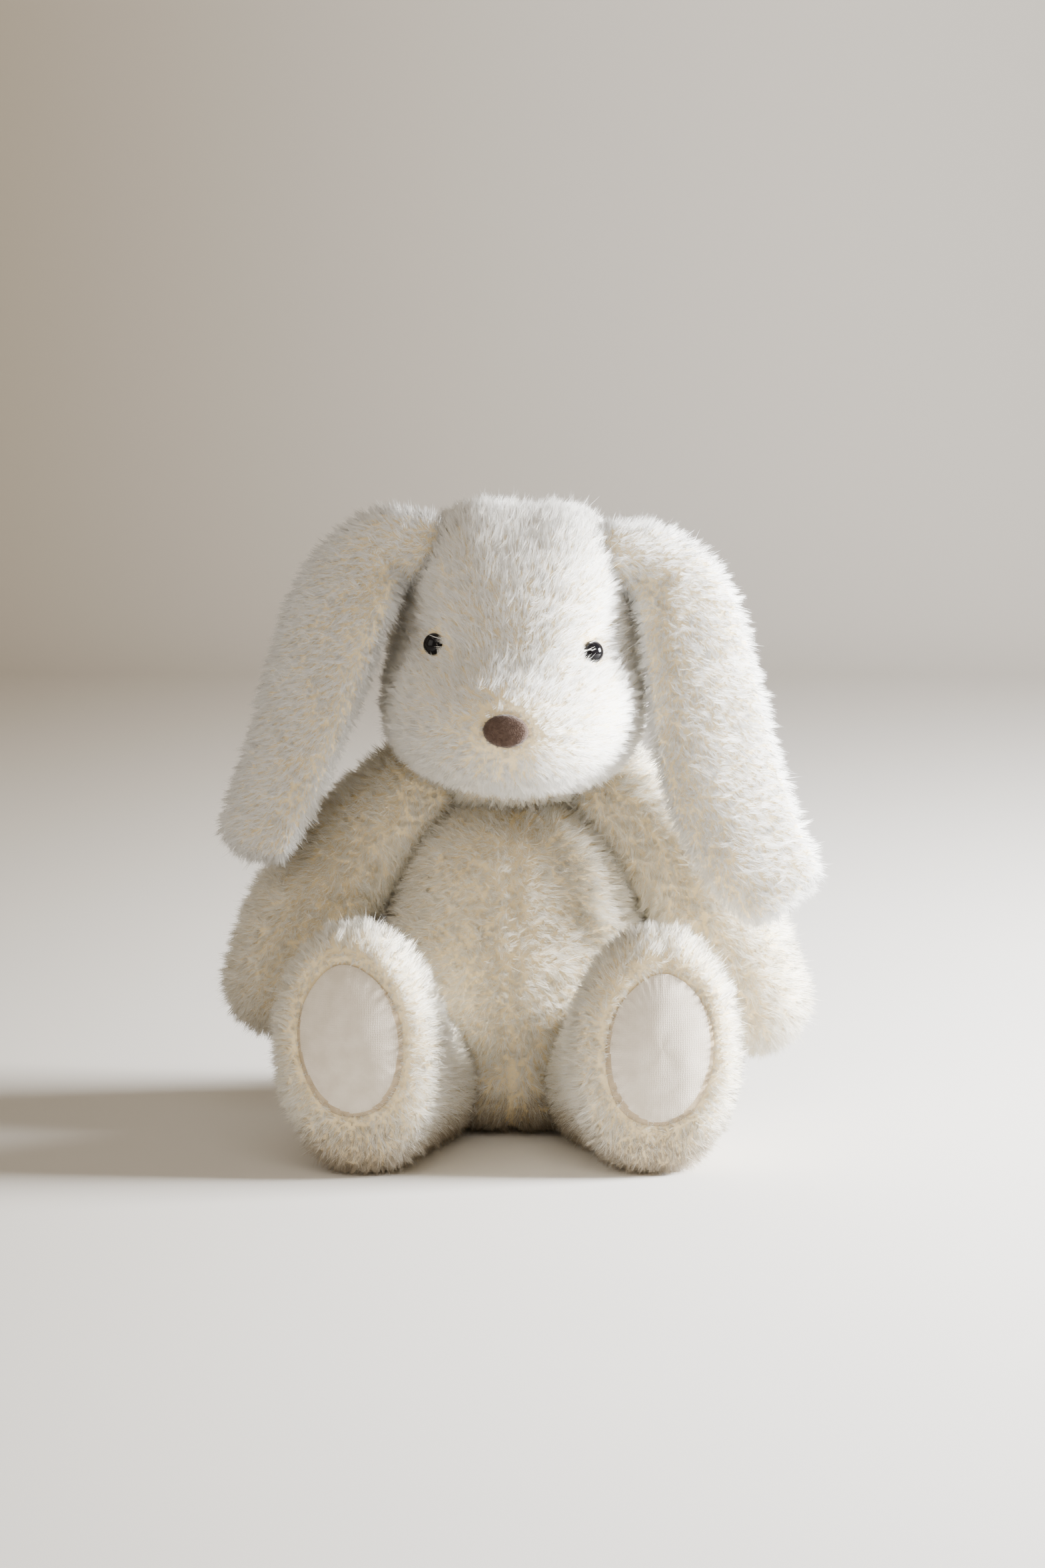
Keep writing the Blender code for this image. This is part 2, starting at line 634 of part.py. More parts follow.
def build_leg(side, pivot):
    stations = LEG_STATIONS[side]
    options = {"facing": FOOT_FACES[side], "twist": FOOT_TWIST[side], "floor": 0.0}
    for name, start in (("leg_outer", pi / 2), ("leg_inner", -pi / 2)):
        start = start if side == "left" else -start
        panel = limb_panel(stations, start, (10, 8, 3), UP, **options)
        add_node(f"{name}_{side}", *panel, "pile_fabric", pivot)
    stuffing = limb_stuffing(stations, (16, 8, 3), UP, **options)
    add_node(f"leg_stuffing_{side}", *stuffing, "stuffing_fibre", pivot)

    middle, ahead, _, _ = limb_frame([s[0] for s in stations], 1.0, UP, FOOT_FACES[side])
    place = middle + ahead * PAD_LIFT
    pad = oval_pad(SOLE_HALF, SOLE_THICKNESS, SOLE_DOME, place, ahead, FOOT_TWIST[side])
    add_node(f"sole_{side}", *pad, "sole_fabric", pivot)


def build_ear(side, pivot):
    """Two layers, each half of a flattened tube, laid face to face along the ear's middle sheet."""
    stations = EAR_STATIONS[side]
    facing = EAR_FACES[side]
    for name, sign, slot in (("ear_lining", 1.0, "ear_lining_fabric"), ("ear_outer", -1.0, "pile_fabric")):
        angles = sign * np.linspace(0.0, pi, 8)
        layer = limb_rings(stations, angles, 0.0, (11, 3), facing, lift=sign * EAR_LAYER_GAP / 2)
        add_node(f"{name}_{side}", *closed_rings(*layer), slot, pivot)


def main():
    clear_scene()
    body = pivot_empty("body_frame", (0.0, 0.0, 0.0))
    neck = pivot_empty("neck_pivot", NECK, parent=body)
    head = pivot_empty("head_pivot", NECK, rotation=(0.0, HEAD_ROLL, HEAD_YAW), parent=neck)
    build_body(body)
    build_tail(body)
    build_back_trim(body)
    build_neck(neck)
    build_head(head)
    for side in SIDES:
        build_arm(side, pivot_empty(f"shoulder_{side}", ARM_STATIONS[side][0][0], parent=body))
        build_leg(side, pivot_empty(f"hip_{side}", LEG_STATIONS[side][0][0], parent=body))
        build_ear(side, pivot_empty(f"ear_root_{side}", EAR_STATIONS[side][0][0], parent=head))


main()
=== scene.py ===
"""Looks for the seated plush rabbit: stuffed covers, pile, beads, felt, woven soles, thread and studio."""

from math import cos, pi, radians, sin

import bmesh
import bpy
import numpy as np
from mathutils import Euler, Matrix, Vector
from mathutils.kdtree import KDTree


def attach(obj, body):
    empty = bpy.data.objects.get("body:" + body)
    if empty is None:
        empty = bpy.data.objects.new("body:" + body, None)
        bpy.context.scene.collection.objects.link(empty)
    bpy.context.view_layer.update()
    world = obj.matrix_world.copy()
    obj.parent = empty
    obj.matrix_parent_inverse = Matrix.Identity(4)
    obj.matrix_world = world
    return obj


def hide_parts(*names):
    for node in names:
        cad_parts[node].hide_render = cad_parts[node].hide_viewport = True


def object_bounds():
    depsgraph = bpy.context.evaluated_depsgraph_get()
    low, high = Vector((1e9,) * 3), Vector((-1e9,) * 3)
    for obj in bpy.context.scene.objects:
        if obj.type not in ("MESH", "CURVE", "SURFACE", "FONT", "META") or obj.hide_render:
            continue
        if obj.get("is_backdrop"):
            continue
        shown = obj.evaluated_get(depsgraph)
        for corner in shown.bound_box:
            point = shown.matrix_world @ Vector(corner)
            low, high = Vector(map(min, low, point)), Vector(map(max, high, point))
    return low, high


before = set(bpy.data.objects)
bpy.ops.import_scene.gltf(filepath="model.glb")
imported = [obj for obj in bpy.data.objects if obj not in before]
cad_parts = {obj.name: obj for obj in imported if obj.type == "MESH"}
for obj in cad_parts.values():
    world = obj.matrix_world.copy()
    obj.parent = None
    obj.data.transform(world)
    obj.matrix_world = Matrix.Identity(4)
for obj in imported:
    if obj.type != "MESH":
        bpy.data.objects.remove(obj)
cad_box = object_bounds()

MM = 0.001
UP = np.array((0.0, 0.0, 1.0))
FORWARD = np.array((0.0, -1.0, 0.0))
SIDES = {"left": 1, "right": -1}
FLOOR = 0.3  # the lowest that any cover or pile reaches, above the floor
COVER_RAISE = 1.4  # from the sewn shape to the outside of its cover
SEAM_RAISE = 1.0  # from the sewn shape to its seams

# The sewn shapes, in millimetres. They are the CAD's, with fuller shoulders, thighs and ear roots
NECK = np.array((0.0, 2.0, 156.0))
HEAD_TURN = (0.0, 2.5, -3.0)
HEAD_CENTRE = (0.0, -14.0, 54.0)
HEAD_POLE = (0.0, -0.91, -0.41)
HEAD_LOBES = (
    ((0, -6, 69), (48, 48, 46)),
    ((18, -6, 90), (23, 33, 30)),
    ((-18, -6, 90), (23, 33, 30)),
    ((24, -17, 34), (31, 39, 31)),
    ((-24, -17, 34), (31, 39, 31)),
    ((0, -46, 28), (40, 30, 26)),
    ((28, 2, 62), (26, 34, 31)),
    ((-28, 2, 62), (26, 34, 31)),
)
BODY_CENTRE = (0.0, 0.0, 70.0)
BODY_LOBES = (
    ((0, 0, 58), (62, 56, 62)),
    ((0, 3, 108), (48, 43, 42)),
)
LOBE_BLEND = 5.0
SEAT_EDGE = 140.0
HEAD_BACK_EDGE = 112.0
EYE_PLACE = (34.5, 63.0)
NOSE_HEIGHT = 30.0
ARM_STATIONS = {
    "left": (
        ((44, 3, 149), 21, 19),
        ((74.5, 5, 117), 23.5, 23),
        ((97, 4, 83), 24, 25),
        ((111, 0, 54), 21, 21),
    ),
    "right": (
        ((-44, 3, 149), 21, 19),
        ((-74.5, 5, 119), 23.5, 23),
        ((-95, 4, 89), 24, 25),
        ((-107, 0, 63), 21, 21),
    ),
}
LEG_STATIONS = {
    "left": (
        ((34, -42, 25), 15, 24),
        ((43, -60, 29), 23, 28),
        ((53, -82, 38), 28, 37),
        ((60.5, -101, 50.5), 33, 50.5),
        ((62, -115, 52), 32, 48),
        ((63, -121, 56), 26, 37),
    ),
    "right": (
        ((-34, -42, 25), 15, 24),
        ((-45, -60, 29), 23, 28),
        ((-56, -82, 38), 28, 37),
        ((-64, -101, 51), 33, 51),
        ((-67, -115, 54), 32, 48.5),
        ((-69, -121, 60), 26, 37),
    ),
}
FOOT_FACES = {"left": (0.08, -0.99, 0.08), "right": (-0.22, -0.97, 0.1)}
FOOT_TWIST = {"left": -3.0, "right": 9.0}
SOLE_HALF = (22.5, 33.5)
EAR_STATIONS = {
    "left": (
        ((46, -12, 258), 12.5, 11),
        ((65, -14, 252), 16, 10),
        ((78, -20, 233), 21, 9),
        ((85.5, -27, 197), 24, 9),
        ((94, -34, 159), 25.5, 8.5),
        ((107, -40, 128), 23, 8),
        ((119, -42, 112), 20, 7),
    ),
    "right": (
        ((-40, -12, 262), 12.5, 11),
        ((-60, -13, 258), 17.5, 11),
        ((-75, -17, 239), 25.5, 10),
        ((-87.5, -22, 205), 26, 9.5),
        ((-101, -27, 166), 22, 8.5),
        ((-115, -30, 134), 18.5, 7),
    ),
}
EAR_FACES = {"left": (0.30, -0.95, 0.0), "right": (-0.70, -0.71, 0.0)}
TAIL_HEIGHT = 34.0
TAIL_RADIUS = 16.0
NECK_HALF = (31.0, 29.0, 17.0)  # the gathered cloth over the neck's thread
NECK_OFFSET = (0.0, 2.0, -1.0)  # from the neck's joint to that cloth's middle

# How finely the covers are drawn: points around, rings along, and for limbs the rings in a domed end
BODY_COUNTS = (72, 48)
HEAD_COUNTS = (72, 56)
LIMB_COUNTS = {"arm": (48, 40, 8), "leg": (64, 48, 6), "ear": (48, 56, 6)}

# The eyes and the nose
EYE_RADIUS = 5.0
EYE_DOME = 3.8
EYE_LIFT = 1.3  # from the face to the dome's edge
EYE_BACK = 0.9  # from the face to the flat back
EYE_ROUNDING = 0.6
SHANK_RADIUS = 1.5
SHANK_LENGTH = 12.0
NOSE_HALF = (10.0, 7.3)
NOSE_THICK = 4.0
NOSE_CROWN = 1.2  # how much thicker its middle is
NOSE_LIFT = 0.4

# Camera
LOOK_AT = Vector((0.0045, -0.022, 0.156))
CAMERA_DISTANCE = 1.66
CAMERA_RISE = 7.5
LENS = 85.0

# One seed for each pile; the limbs add 1 on the left and take 1 on the right
SEEDS = {"body": 11, "head": 12, "nose": 13, "arm": 20, "leg": 30, "ear": 40, "tail": 51, "neck": 52}


# ---------------------------------------------------------------- shapes shared with the CAD


FARTHEST = 200.0
HALVINGS = 34


def unit(v):
    v = np.asarray(v, float)
    return v / np.maximum(np.linalg.norm(v, axis=-1, keepdims=True), 1e-12)


def fade(value, start, end):
    """Eases from 0 at start to 1 at end, and stays there; end may be the smaller of the two."""
    share = np.clip((value - start) / (end - start), 0.0, 1.0)
    return share * share * (3 - 2 * share)


def field(points, lobes):
    """About the distance outside the blended lobes, negative inside."""
    total = np.zeros(points.shape[:-1])
    for centre, radii in lobes:
        radii = np.array(radii, float)
        reach = np.linalg.norm((points - np.array(centre, float)) / radii, axis=-1)
        total += np.exp(-(reach - 1.0) * radii.min() / LOBE_BLEND)
    return -LOBE_BLEND * np.log(np.maximum(total, 1e-300))


def skin_reach(start, directions, lobes):
    """How far the blended lobes' skin is from a start inside them, by halving."""
    near = np.zeros(directions.shape[:-1])
    far = np.full(directions.shape[:-1], FARTHEST)
    for _ in range(HALVINGS):
        middle = (near + far) / 2
        inside = field(np.asarray(start, float) + directions * middle[..., None], lobes) < 0
        near = np.where(inside, middle, near)
        far = np.where(inside, far, middle)
    return near


def skin_normal(point, lobes):
    step = 0.01
    slopes = [float(field(point + step * a, lobes) - field(point - step * a, lobes)) for a in np.eye(3)]
    return unit(slopes)


def lobed_skin(centre, lobes, pole):
    """A function of (angle around the pole axis, angle from the pole, rise over the skin)."""
    axis = unit(pole)
    side = np.array((1.0, 0.0, 0.0))
    rise = np.cross(axis, side)

    def place(around, down, lift):
        around, down = np.radians(np.broadcast_arrays(np.asarray(around, float), np.asarray(down, float)))
        spread = np.cos(around)[..., None] * side + np.sin(around)[..., None] * rise
        directions = np.cos(down)[..., None] * axis + np.sin(down)[..., None] * spread
        reach = skin_reach(centre, directions, lobes) + lift
        return np.array(centre, float) + directions * reach[..., None]

    return place


def closed_rings(rings, start_pole, end_pole):
    """A closed skin over whole rings of points, with a single point at each end."""
    count = len(rings[0])
    points = [start_pole] + [p for ring in rings for p in ring] + [end_pole]
    faces = []
    for j in range(count):
        k = (j + 1) % count
        faces.append((0, 1 + k, 1 + j))
        for i in range(len(rings) - 1):
            a, b = 1 + i * count, 1 + (i + 1) * count
            faces.append((a + j, a + k, b + k, b + j))
        last = 1 + (len(rings) - 1) * count
        faces.append((last + j, last + k, len(points) - 1))
    return np.array(points), faces


def lobed_solid(place, lift, counts):
    around, along = counts
    angles = np.arange(around) * 360.0 / around
    downs = np.linspace(0.0, 180.0, along + 1)
    rings = [place(angles, d, lift) for d in downs[1:-1]]
    return closed_rings(rings, place([0.0], 0.0, lift)[0], place([0.0], 180.0, lift)[0])


def curve_through(values, share):
    """A smooth curve through the given values, evenly spaced from share 0 to 1 (Catmull-Rom)."""
    values = np.asarray(values, float)
    padded = np.concatenate([2 * values[:1] - values[1:2], values, 2 * values[-1:] - values[-2:-1]])
    position = np.clip(share, 0.0, 1.0) * (len(values) - 1)
    index = min(int(position), len(values) - 2)
    t = position - index
    a, b, c, d = padded[index : index + 4]
    return 0.5 * (2 * b + (c - a) * t + (2 * a - 5 * b + 4 * c - d) * t**2 + (3 * b - a - 3 * c + d) * t**3)


def limb_frame(centres, share, up_hint, facing=None):
    """The middle of a limb at a share of its way, and the ways ahead, across and up from there."""
    step = 0.01
    middle = curve_through(centres, share)
    ahead = curve_through(centres, min(share + step, 1.0)) - curve_through(centres, max(share - step, 0.0))
    ahead = unit(ahead if facing is None else facing)
    across = unit(np.cross(up_hint, ahead))
    return middle, ahead, across, np.cross(ahead, across)


def limb_rings(stations, angles, lift, counts, up_hint, facing=None, twist=0.0):
    """Rings of points along a limb with domed ends. facing leaves the far end flat and square to it."""
    round_end = facing is None
    centres = [s[0] for s in stations]
    halves = np.array([s[1:] for s in stations], float)
    along, dome = counts
    samples = [(0.0, -sin(a), cos(a)) for a in np.linspace(pi / 2, 0, dome + 1)[1:-1]]
    samples += [(s, 0.0, 1.0) for s in np.linspace(0.0, 1.0, along)]
    if round_end:
        samples += [(1.0, sin(a), cos(a)) for a in np.linspace(0, pi / 2, dome + 1)[1:-1]]
    rings = []
    for share, push, shrink in samples:
        middle, ahead, across, up = limb_frame(centres, share, up_hint, facing)
        half = curve_through(halves, share) + lift
        turn = radians(twist) * share**2
        across, up = across * cos(turn) + up * sin(turn), up * cos(turn) - across * sin(turn)
        middle = middle + ahead * push * half.min()
        ring = [middle + shrink * (half[0] * cos(a) * across + half[1] * sin(a) * up) for a in angles]
        rings.append(np.array(ring))
    tips = []
    for share, way in ((0.0, -1.0), (1.0, 1.0)):
        middle, ahead, _, _ = limb_frame(centres, share, up_hint, facing)
        half = curve_through(halves, share) + lift
        reach = half.min() if round_end or share == 0.0 else 0.0
        tips.append(middle + ahead * way * reach)
    return rings, tips[0], tips[1]


HEAD_MATRIX = np.array(Euler([radians(a) for a in HEAD_TURN]).to_matrix())


def head_to_world(points):
    return np.asarray(points, float) @ HEAD_MATRIX.T + NECK


def world_to_head(points):
    return (np.asarray(points, float) - NECK) @ HEAD_MATRIX


# ---------------------------------------------------------------- meshes


def coordinates(mesh):
    points = np.empty(len(mesh.vertices) * 3, np.float32)
    mesh.vertices.foreach_get("co", points)
    return points.reshape(-1, 3).astype(float)


def normals(mesh):
    found = np.empty(len(mesh.vertices) * 3, np.float32)
    mesh.vertex_normals.foreach_get("vector", found)
    return found.reshape(-1, 3).astype(float)


def set_coordinates(mesh, points):
    mesh.vertices.foreach_set("co", np.asarray(points, np.float32).ravel())
    mesh.update()


def triangles(mesh):
    mesh.calc_loop_triangles()
    found = np.empty(len(mesh.loop_triangles) * 3, np.int32)
    mesh.loop_triangles.foreach_get("vertices", found)
    return found.reshape(-1, 3)


def add_piece(name, points, faces, looks=()):
    """A new object from points in millimetres and faces."""
    mesh = bpy.data.meshes.new(name)
    mesh.from_pydata((np.asarray(points, float) * MM).tolist(), [], [list(f) for f in faces])
    bm = bmesh.new()
    bm.from_mesh(mesh)
    bmesh.ops.recalc_face_normals(bm, faces=bm.faces)
    bm.to_mesh(mesh)
    bm.free()
    mesh.shade_smooth()
    for look in looks:
        mesh.materials.append(look)
    piece = bpy.data.objects.new(name, mesh)
    bpy.context.scene.collection.objects.link(piece)
    return piece


def evaluated_mesh(piece):
    """Replaces the piece's mesh by what its modifiers make of it, and drops the modifiers."""
    graph = bpy.context.evaluated_depsgraph_get()
    made = bpy.data.meshes.new_from_object(piece.evaluated_get(graph))
    old = piece.data
    piece.modifiers.clear()
    piece.data = made
    bpy.data.meshes.remove(old)
    made.name = piece.name
    made.shade_smooth()


def remesh(piece, voxel):
    modifier = piece.modifiers.new("remesh", "REMESH")
    modifier.mode = "VOXEL"
    modifier.voxel_size = voxel * MM
    evaluated_mesh(piece)


def subdivide(piece, levels=1):
    modifier = piece.modifiers.new("smooth", "SUBSURF")
    modifier.levels = levels
    modifier.render_levels = levels
    evaluated_mesh(piece)


def nearest_distance(points, lines):
    """How far each point is from the nearest point of the lines, in the points' own units."""
    tree = KDTree(len(lines))
    for i, p in enumerate(lines):
        tree.insert(p, i)
    tree.balance()
    return np.array([tree.find(p)[2] for p in points])


STUFFING_PRESSURE = 4.0
STUFFING_FRAMES = 20
SEAM_HELD = 1.5  # the cloth is held this near to a seam
SEAM_FREE = 4.5  # and free from here on
VALLEY_WIDTH = 2.6


def puff(piece, seams, cap):
    """Stuffs a sewn cover: its panels swell under pressure and its seams hold, as a cloth simulation."""
    rest = coordinates(piece.data)
    distance = nearest_distance(rest / MM, seams)
    hold = np.clip(1.0 - (distance - SEAM_HELD) / (SEAM_FREE - SEAM_HELD), 0.0, 1.0)
    group = piece.vertex_groups.new(name="seams")
    for i in np.flatnonzero(hold > 0):
        group.add([int(i)], float(hold[i]), "REPLACE")
    cloth = piece.modifiers.new("stuffing", "CLOTH")
    cloth.settings.use_pressure = True
    cloth.settings.uniform_pressure_force = STUFFING_PRESSURE
    cloth.settings.effector_weights.gravity = 0.0
    cloth.settings.vertex_group_mass = "seams"
    cloth.settings.quality = 4
    cloth.point_cache.frame_start = 1
    cloth.point_cache.frame_end = STUFFING_FRAMES
    scene = bpy.context.scene
    for number in range(1, STUFFING_FRAMES + 1):
        scene.frame_set(number)
    evaluated_mesh(piece)
    scene.frame_set(1)
    shift = coordinates(piece.data) - rest
    length = np.linalg.norm(shift, axis=1, keepdims=True)
    shift *= np.minimum(1.0, cap * MM / np.maximum(length, 1e-9))
    set_coordinates(piece.data, rest + shift)
    piece.vertex_groups.clear()


def sink_seams(piece, seams, depth):
    """Presses a valley into the cover along its seams."""
    points = coordinates(piece.data)
    distance = nearest_distance(points / MM, seams)
    points -= normals(piece.data) * (depth * MM * np.exp(-((distance / VALLEY_WIDTH) ** 2)))[:, None]
    set_coordinates(piece.data, points)


def above_floor(points):
    """The points with none lower than FLOOR, in millimetres."""
    points[:, 2] = np.maximum(points[:, 2], FLOOR)
    return points


def rest_on_floor(piece):
    points = coordinates(piece.data)
    points[:, 2] = np.maximum(points[:, 2], FLOOR * MM)
    set_coordinates(piece.data, points)


# ---------------------------------------------------------------- materials


CLOTH_SPECULAR = 0.2


def new_material(name, colour, roughness, sheen=0.0, specular=CLOTH_SPECULAR):
    made = bpy.data.materials.new(name)
    made.use_nodes = True
    shader = made.node_tree.nodes["Principled BSDF"]
    shader.inputs["Base Color"].default_value = (*colour, 1.0)
    shader.inputs["Roughness"].default_value = roughness
    shader.inputs["Specular IOR Level"].default_value = specular
    shader.inputs["Sheen Weight"].default_value = sheen
    shader.inputs["Sheen Roughness"].default_value = 0.5
    return made


def add_node(made, kind, **values):
    node = made.node_tree.nodes.new(kind)
    for name, value in values.items():
        if name in node.inputs:
            node.inputs[name].default_value = value
        else:
            setattr(node, name, value)
    return node


def link(made, source, output, target, socket):
    made.node_tree.links.new(source.outputs[output], target.inputs[socket])


def mottled_material(
    name, colours, scale, roughness, bump=0.3, bump_scale=900.0, sheen=0.0, specular=CLOTH_SPECULAR
):
    """Colour that wanders between two tones, with a fine fibrous relief."""
    made = new_material(name, colours[0], roughness, sheen, specular)
    shader = made.node_tree.nodes["Principled BSDF"]
    place = add_node(made, "ShaderNodeTexCoord")
    noise = add_node(made, "ShaderNodeTexNoise", Scale=scale, Detail=6.0)
    ramp = add_node(made, "ShaderNodeValToRGB")
    for element, colour, position in zip(ramp.color_ramp.elements, colours, (0.35, 0.65)):
        element.color = (*colour, 1.0)
        element.position = position
    link(made, place, "Object", noise, "Vector")
    link(made, noise, "Fac", ramp, "Fac")
    link(made, ramp, "Color", shader, "Base Color")
    fine = add_node(made, "ShaderNodeTexNoise", Scale=bump_scale, Detail=3.0)
    relief = add_node(made, "ShaderNodeBump", Strength=bump, Distance=0.0006)
    link(made, place, "Object", fine, "Vector")
    link(made, fine, "Fac", relief, "Height")
    link(made, relief, "Normal", shader, "Normal")
    return made


def pile_materials(name, tones):
    """One plain fibre material for each tone; the strands share them out."""
    return [new_material(f"{name}_{i}", tone, 0.8, sheen=0.12) for i, tone in enumerate(tones)]


# ---------------------------------------------------------------- pile


def tangent(directions, up):
    """The part of each direction that lies along the surface."""
    return unit(directions - up * (directions * up).sum(1, keepdims=True))


PILE_LENGTH = 6.8
PILE_WIDTH = 0.27


class Growth:
    """How a pile grows. comb(roots, up) gives the way it lies at each root, with its normal.

    Length, width, lean and gather may be functions of the roots as well.
    """

    density = 3.2  # strands for each square millimetre
    length = PILE_LENGTH
    width = PILE_WIDTH
    lean = 36.0  # degrees from upright
    clump = 2.0  # from tuft to tuft
    gather = 0.72  # how far the tips are drawn to their tuft's tip
    wander = 0.5  # how much each strand strays from the comb's way
    drift = 0.3  # and how much a group of tufts does
    floor_shade = False  # whether the last tone, a painted shade, is kept for the strands near the floor

    def __init__(self, comb, **rules):
        self.comb = comb
        for name, rule in rules.items():
            setattr(self, name, rule)


def value_at(rule, points):
    return rule(points) if callable(rule) else np.full(len(points), float(rule))


def scatter(mesh, density, random):
    """Points strewn evenly over a mesh, in millimetres, and the way the surface looks there."""
    points, up, faces = coordinates(mesh) / MM, normals(mesh), triangles(mesh)
    a, b, c = (points[faces[:, i]] for i in range(3))
    areas = np.linalg.norm(np.cross(b - a, c - a), axis=1) / 2
    count = int(areas.sum() * density)
    chosen = random.choice(len(faces), count, p=areas / areas.sum())
    u, v = random.random((2, count))
    over = u + v > 1
    u[over], v[over] = 1 - u[over], 1 - v[over]
    weights = np.stack([1 - u - v, u, v], axis=1)[..., None]
    corners = faces[chosen]
    return (points[corners] * weights).sum(1), unit((up[corners] * weights).sum(1))


def leaders(roots, spacing, density, random):
    """For each root, the root that leads the tuft it belongs to."""
    count = len(roots)
    heads = random.choice(count, max(int(count / (spacing**2 * density)), 1), replace=False)
    tree = KDTree(len(heads))
    for i, h in enumerate(heads):
        tree.insert(roots[h], i)
    tree.balance()
    return heads[[tree.find(p)[1] for p in roots]]


TUFT_SPACING = 7.0  # between groups of tufts that lie the same way
UNDERFUR = 0.34  # share of strands that are short and in the first tone, darker and warmer as painted shade deep in the pile
UNDERFUR_LENGTH = 0.6
STRAYS = 0.05  # share that stand out of their tufts
STRAY_LENGTH = 1.35
STRAY_GATHER = 0.2
LOOSE_TONES = 0.4  # share whose tone is not their tuft's
ROOT_DEPTH = 0.8  # how far the roots are set into the cover
FLOOR_SHADE_TO = 32.0  # how far up from the floor the last tone, painted shade near the floor, reaches on a pile that has it
PIECE_STRANDS = 66000


def grow(name, cover, growth, looks, seed, keep=None):
    """A pile of fine tapered strands over a cover, gathered into soft tufts. It returns its pieces."""
    random = np.random.default_rng(seed)
    density = growth.density * 1.0
    roots, up = scatter(cover.data, density, random)
    if keep is not None:
        kept = random.random(len(roots)) < keep(roots)
        roots, up = roots[kept], up[kept]
    count = len(roots)
    length = value_at(growth.length, roots) * random.normal(1.0, 0.15, count).clip(0.5, 1.45)
    under = random.random(count) < UNDERFUR
    stray = random.random(count) < STRAYS
    length *= np.where(under, UNDERFUR_LENGTH, 1.0) * np.where(stray, STRAY_LENGTH, 1.0)
    lean = np.radians(value_at(growth.lean, roots))
    lock = leaders(roots, TUFT_SPACING, density, random)
    sway = random.normal(0.0, growth.drift, (count, 3))[lock]
    along = tangent(growth.comb(roots, up) + sway + random.normal(0.0, growth.wander, (count, 3)), up)
    aim = up * np.cos(lean)[:, None] + along * np.sin(lean)[:, None]
    aim = unit(aim + random.normal(0.0, growth.wander * 0.45, (count, 3)))

    lead = leaders(roots, growth.clump, density, random)
    tips = roots + aim * length[:, None]
    pull = value_at(growth.gather, roots)[:, None] * random.uniform(0.6, 1.2, (count, 1))
    pull *= np.where(stray, STRAY_GATHER, 1.0)[:, None]
    tips += (tips[lead] - tips) * np.clip(pull, 0, 0.95)
    tips = above_floor(tips)
    roots = roots - up * ROOT_DEPTH

    corners, shading = strand_shapes(roots, tips, up, growth, random)
    tone = strand_tones(roots, under, lead, len(looks), growth, random)
    parts = max(1, -(-count // PIECE_STRANDS))
    order = np.argsort(roots[:, 2], kind="stable")
    names = [name] if parts == 1 else [f"{name}_{i + 1}" for i in range(parts)]
    bands = np.array_split(order, parts)
    return [strand_piece(n, corners[i], shading[i], tone[i], looks) for n, i in zip(names, bands)]


def strand_shapes(roots, tips, up, growth, random):
    """Each strand's three root corners and its tip, and normals that shade it as a part of the surface."""
    count = len(roots)
    aim = unit(tips - roots)
    side = unit(np.cross(aim, unit(random.normal(size=(count, 3)))))
    other = np.cross(aim, side)
    radius = value_at(growth.width, roots)[:, None] * random.uniform(0.7, 1.2, (count, 1)) / 2
    rim = [side * cos(a) + other * sin(a) for a in (0.0, 2 * pi / 3, 4 * pi / 3)]
    corners = np.stack([roots + r * radius for r in rim] + [tips], axis=1)
    rim_shading = [unit(up * 0.5 + r * 0.35 + aim * 0.3) for r in rim]
    return corners, np.stack([*rim_shading, unit(up * 0.5 + aim * 0.6)], axis=1)


def strand_tones(roots, under, lead, tone_count, growth, random):
    """The number of each strand's tone: the first, a painted shade, for the underfur, and mostly its tuft's
    for the rest; a pile with floor shade paints the strands near the floor in its last.
    """
    count = len(roots)
    tone = random.integers(1, tone_count - growth.floor_shade, count)
    loose = random.random(count) < LOOSE_TONES
    tone = np.where(under, 0, np.where(loose, tone, tone[lead]))
    # Painted shade: strands near the floor take the last, dark tone
    if growth.floor_shade:
        low = random.random(count) < fade(roots[:, 2], FLOOR_SHADE_TO, 0.0)
        tone = np.where(low, tone_count - 1, tone)
    return tone


def strand_piece(name, corners, shading, tone, looks):
    """One object of three-sided strands: corners is (strands, 4 corners, xyz), the tip last."""
    count = len(corners)
    base = np.arange(count)[:, None] * 4
    faces = np.concatenate([base + (0, 1, 3), base + (1, 2, 3), base + (2, 0, 3)], axis=1).reshape(-1)
    mesh = bpy.data.meshes.new(name)
    mesh.vertices.add(4 * count)
    mesh.vertices.foreach_set("co", (corners * MM).astype(np.float32).ravel())
    mesh.loops.add(len(faces))
    mesh.loops.foreach_set("vertex_index", faces.astype(np.int32))
    mesh.polygons.add(3 * count)
    mesh.polygons.foreach_set("loop_start", np.arange(0, len(faces), 3, dtype=np.int32))
    for look in looks:
        mesh.materials.append(look)
    mesh.polygons.foreach_set("material_index", np.repeat(tone, 3).astype(np.int32))
    mesh.update()
    mesh.shade_smooth()
    mesh.normals_split_custom_set_from_vertices(shading.reshape(-1, 3).astype(np.float32))
    piece = bpy.data.objects.new(name, mesh)
    bpy.context.scene.collection.objects.link(piece)
    return piece


# ---------------------------------------------------------------- looks

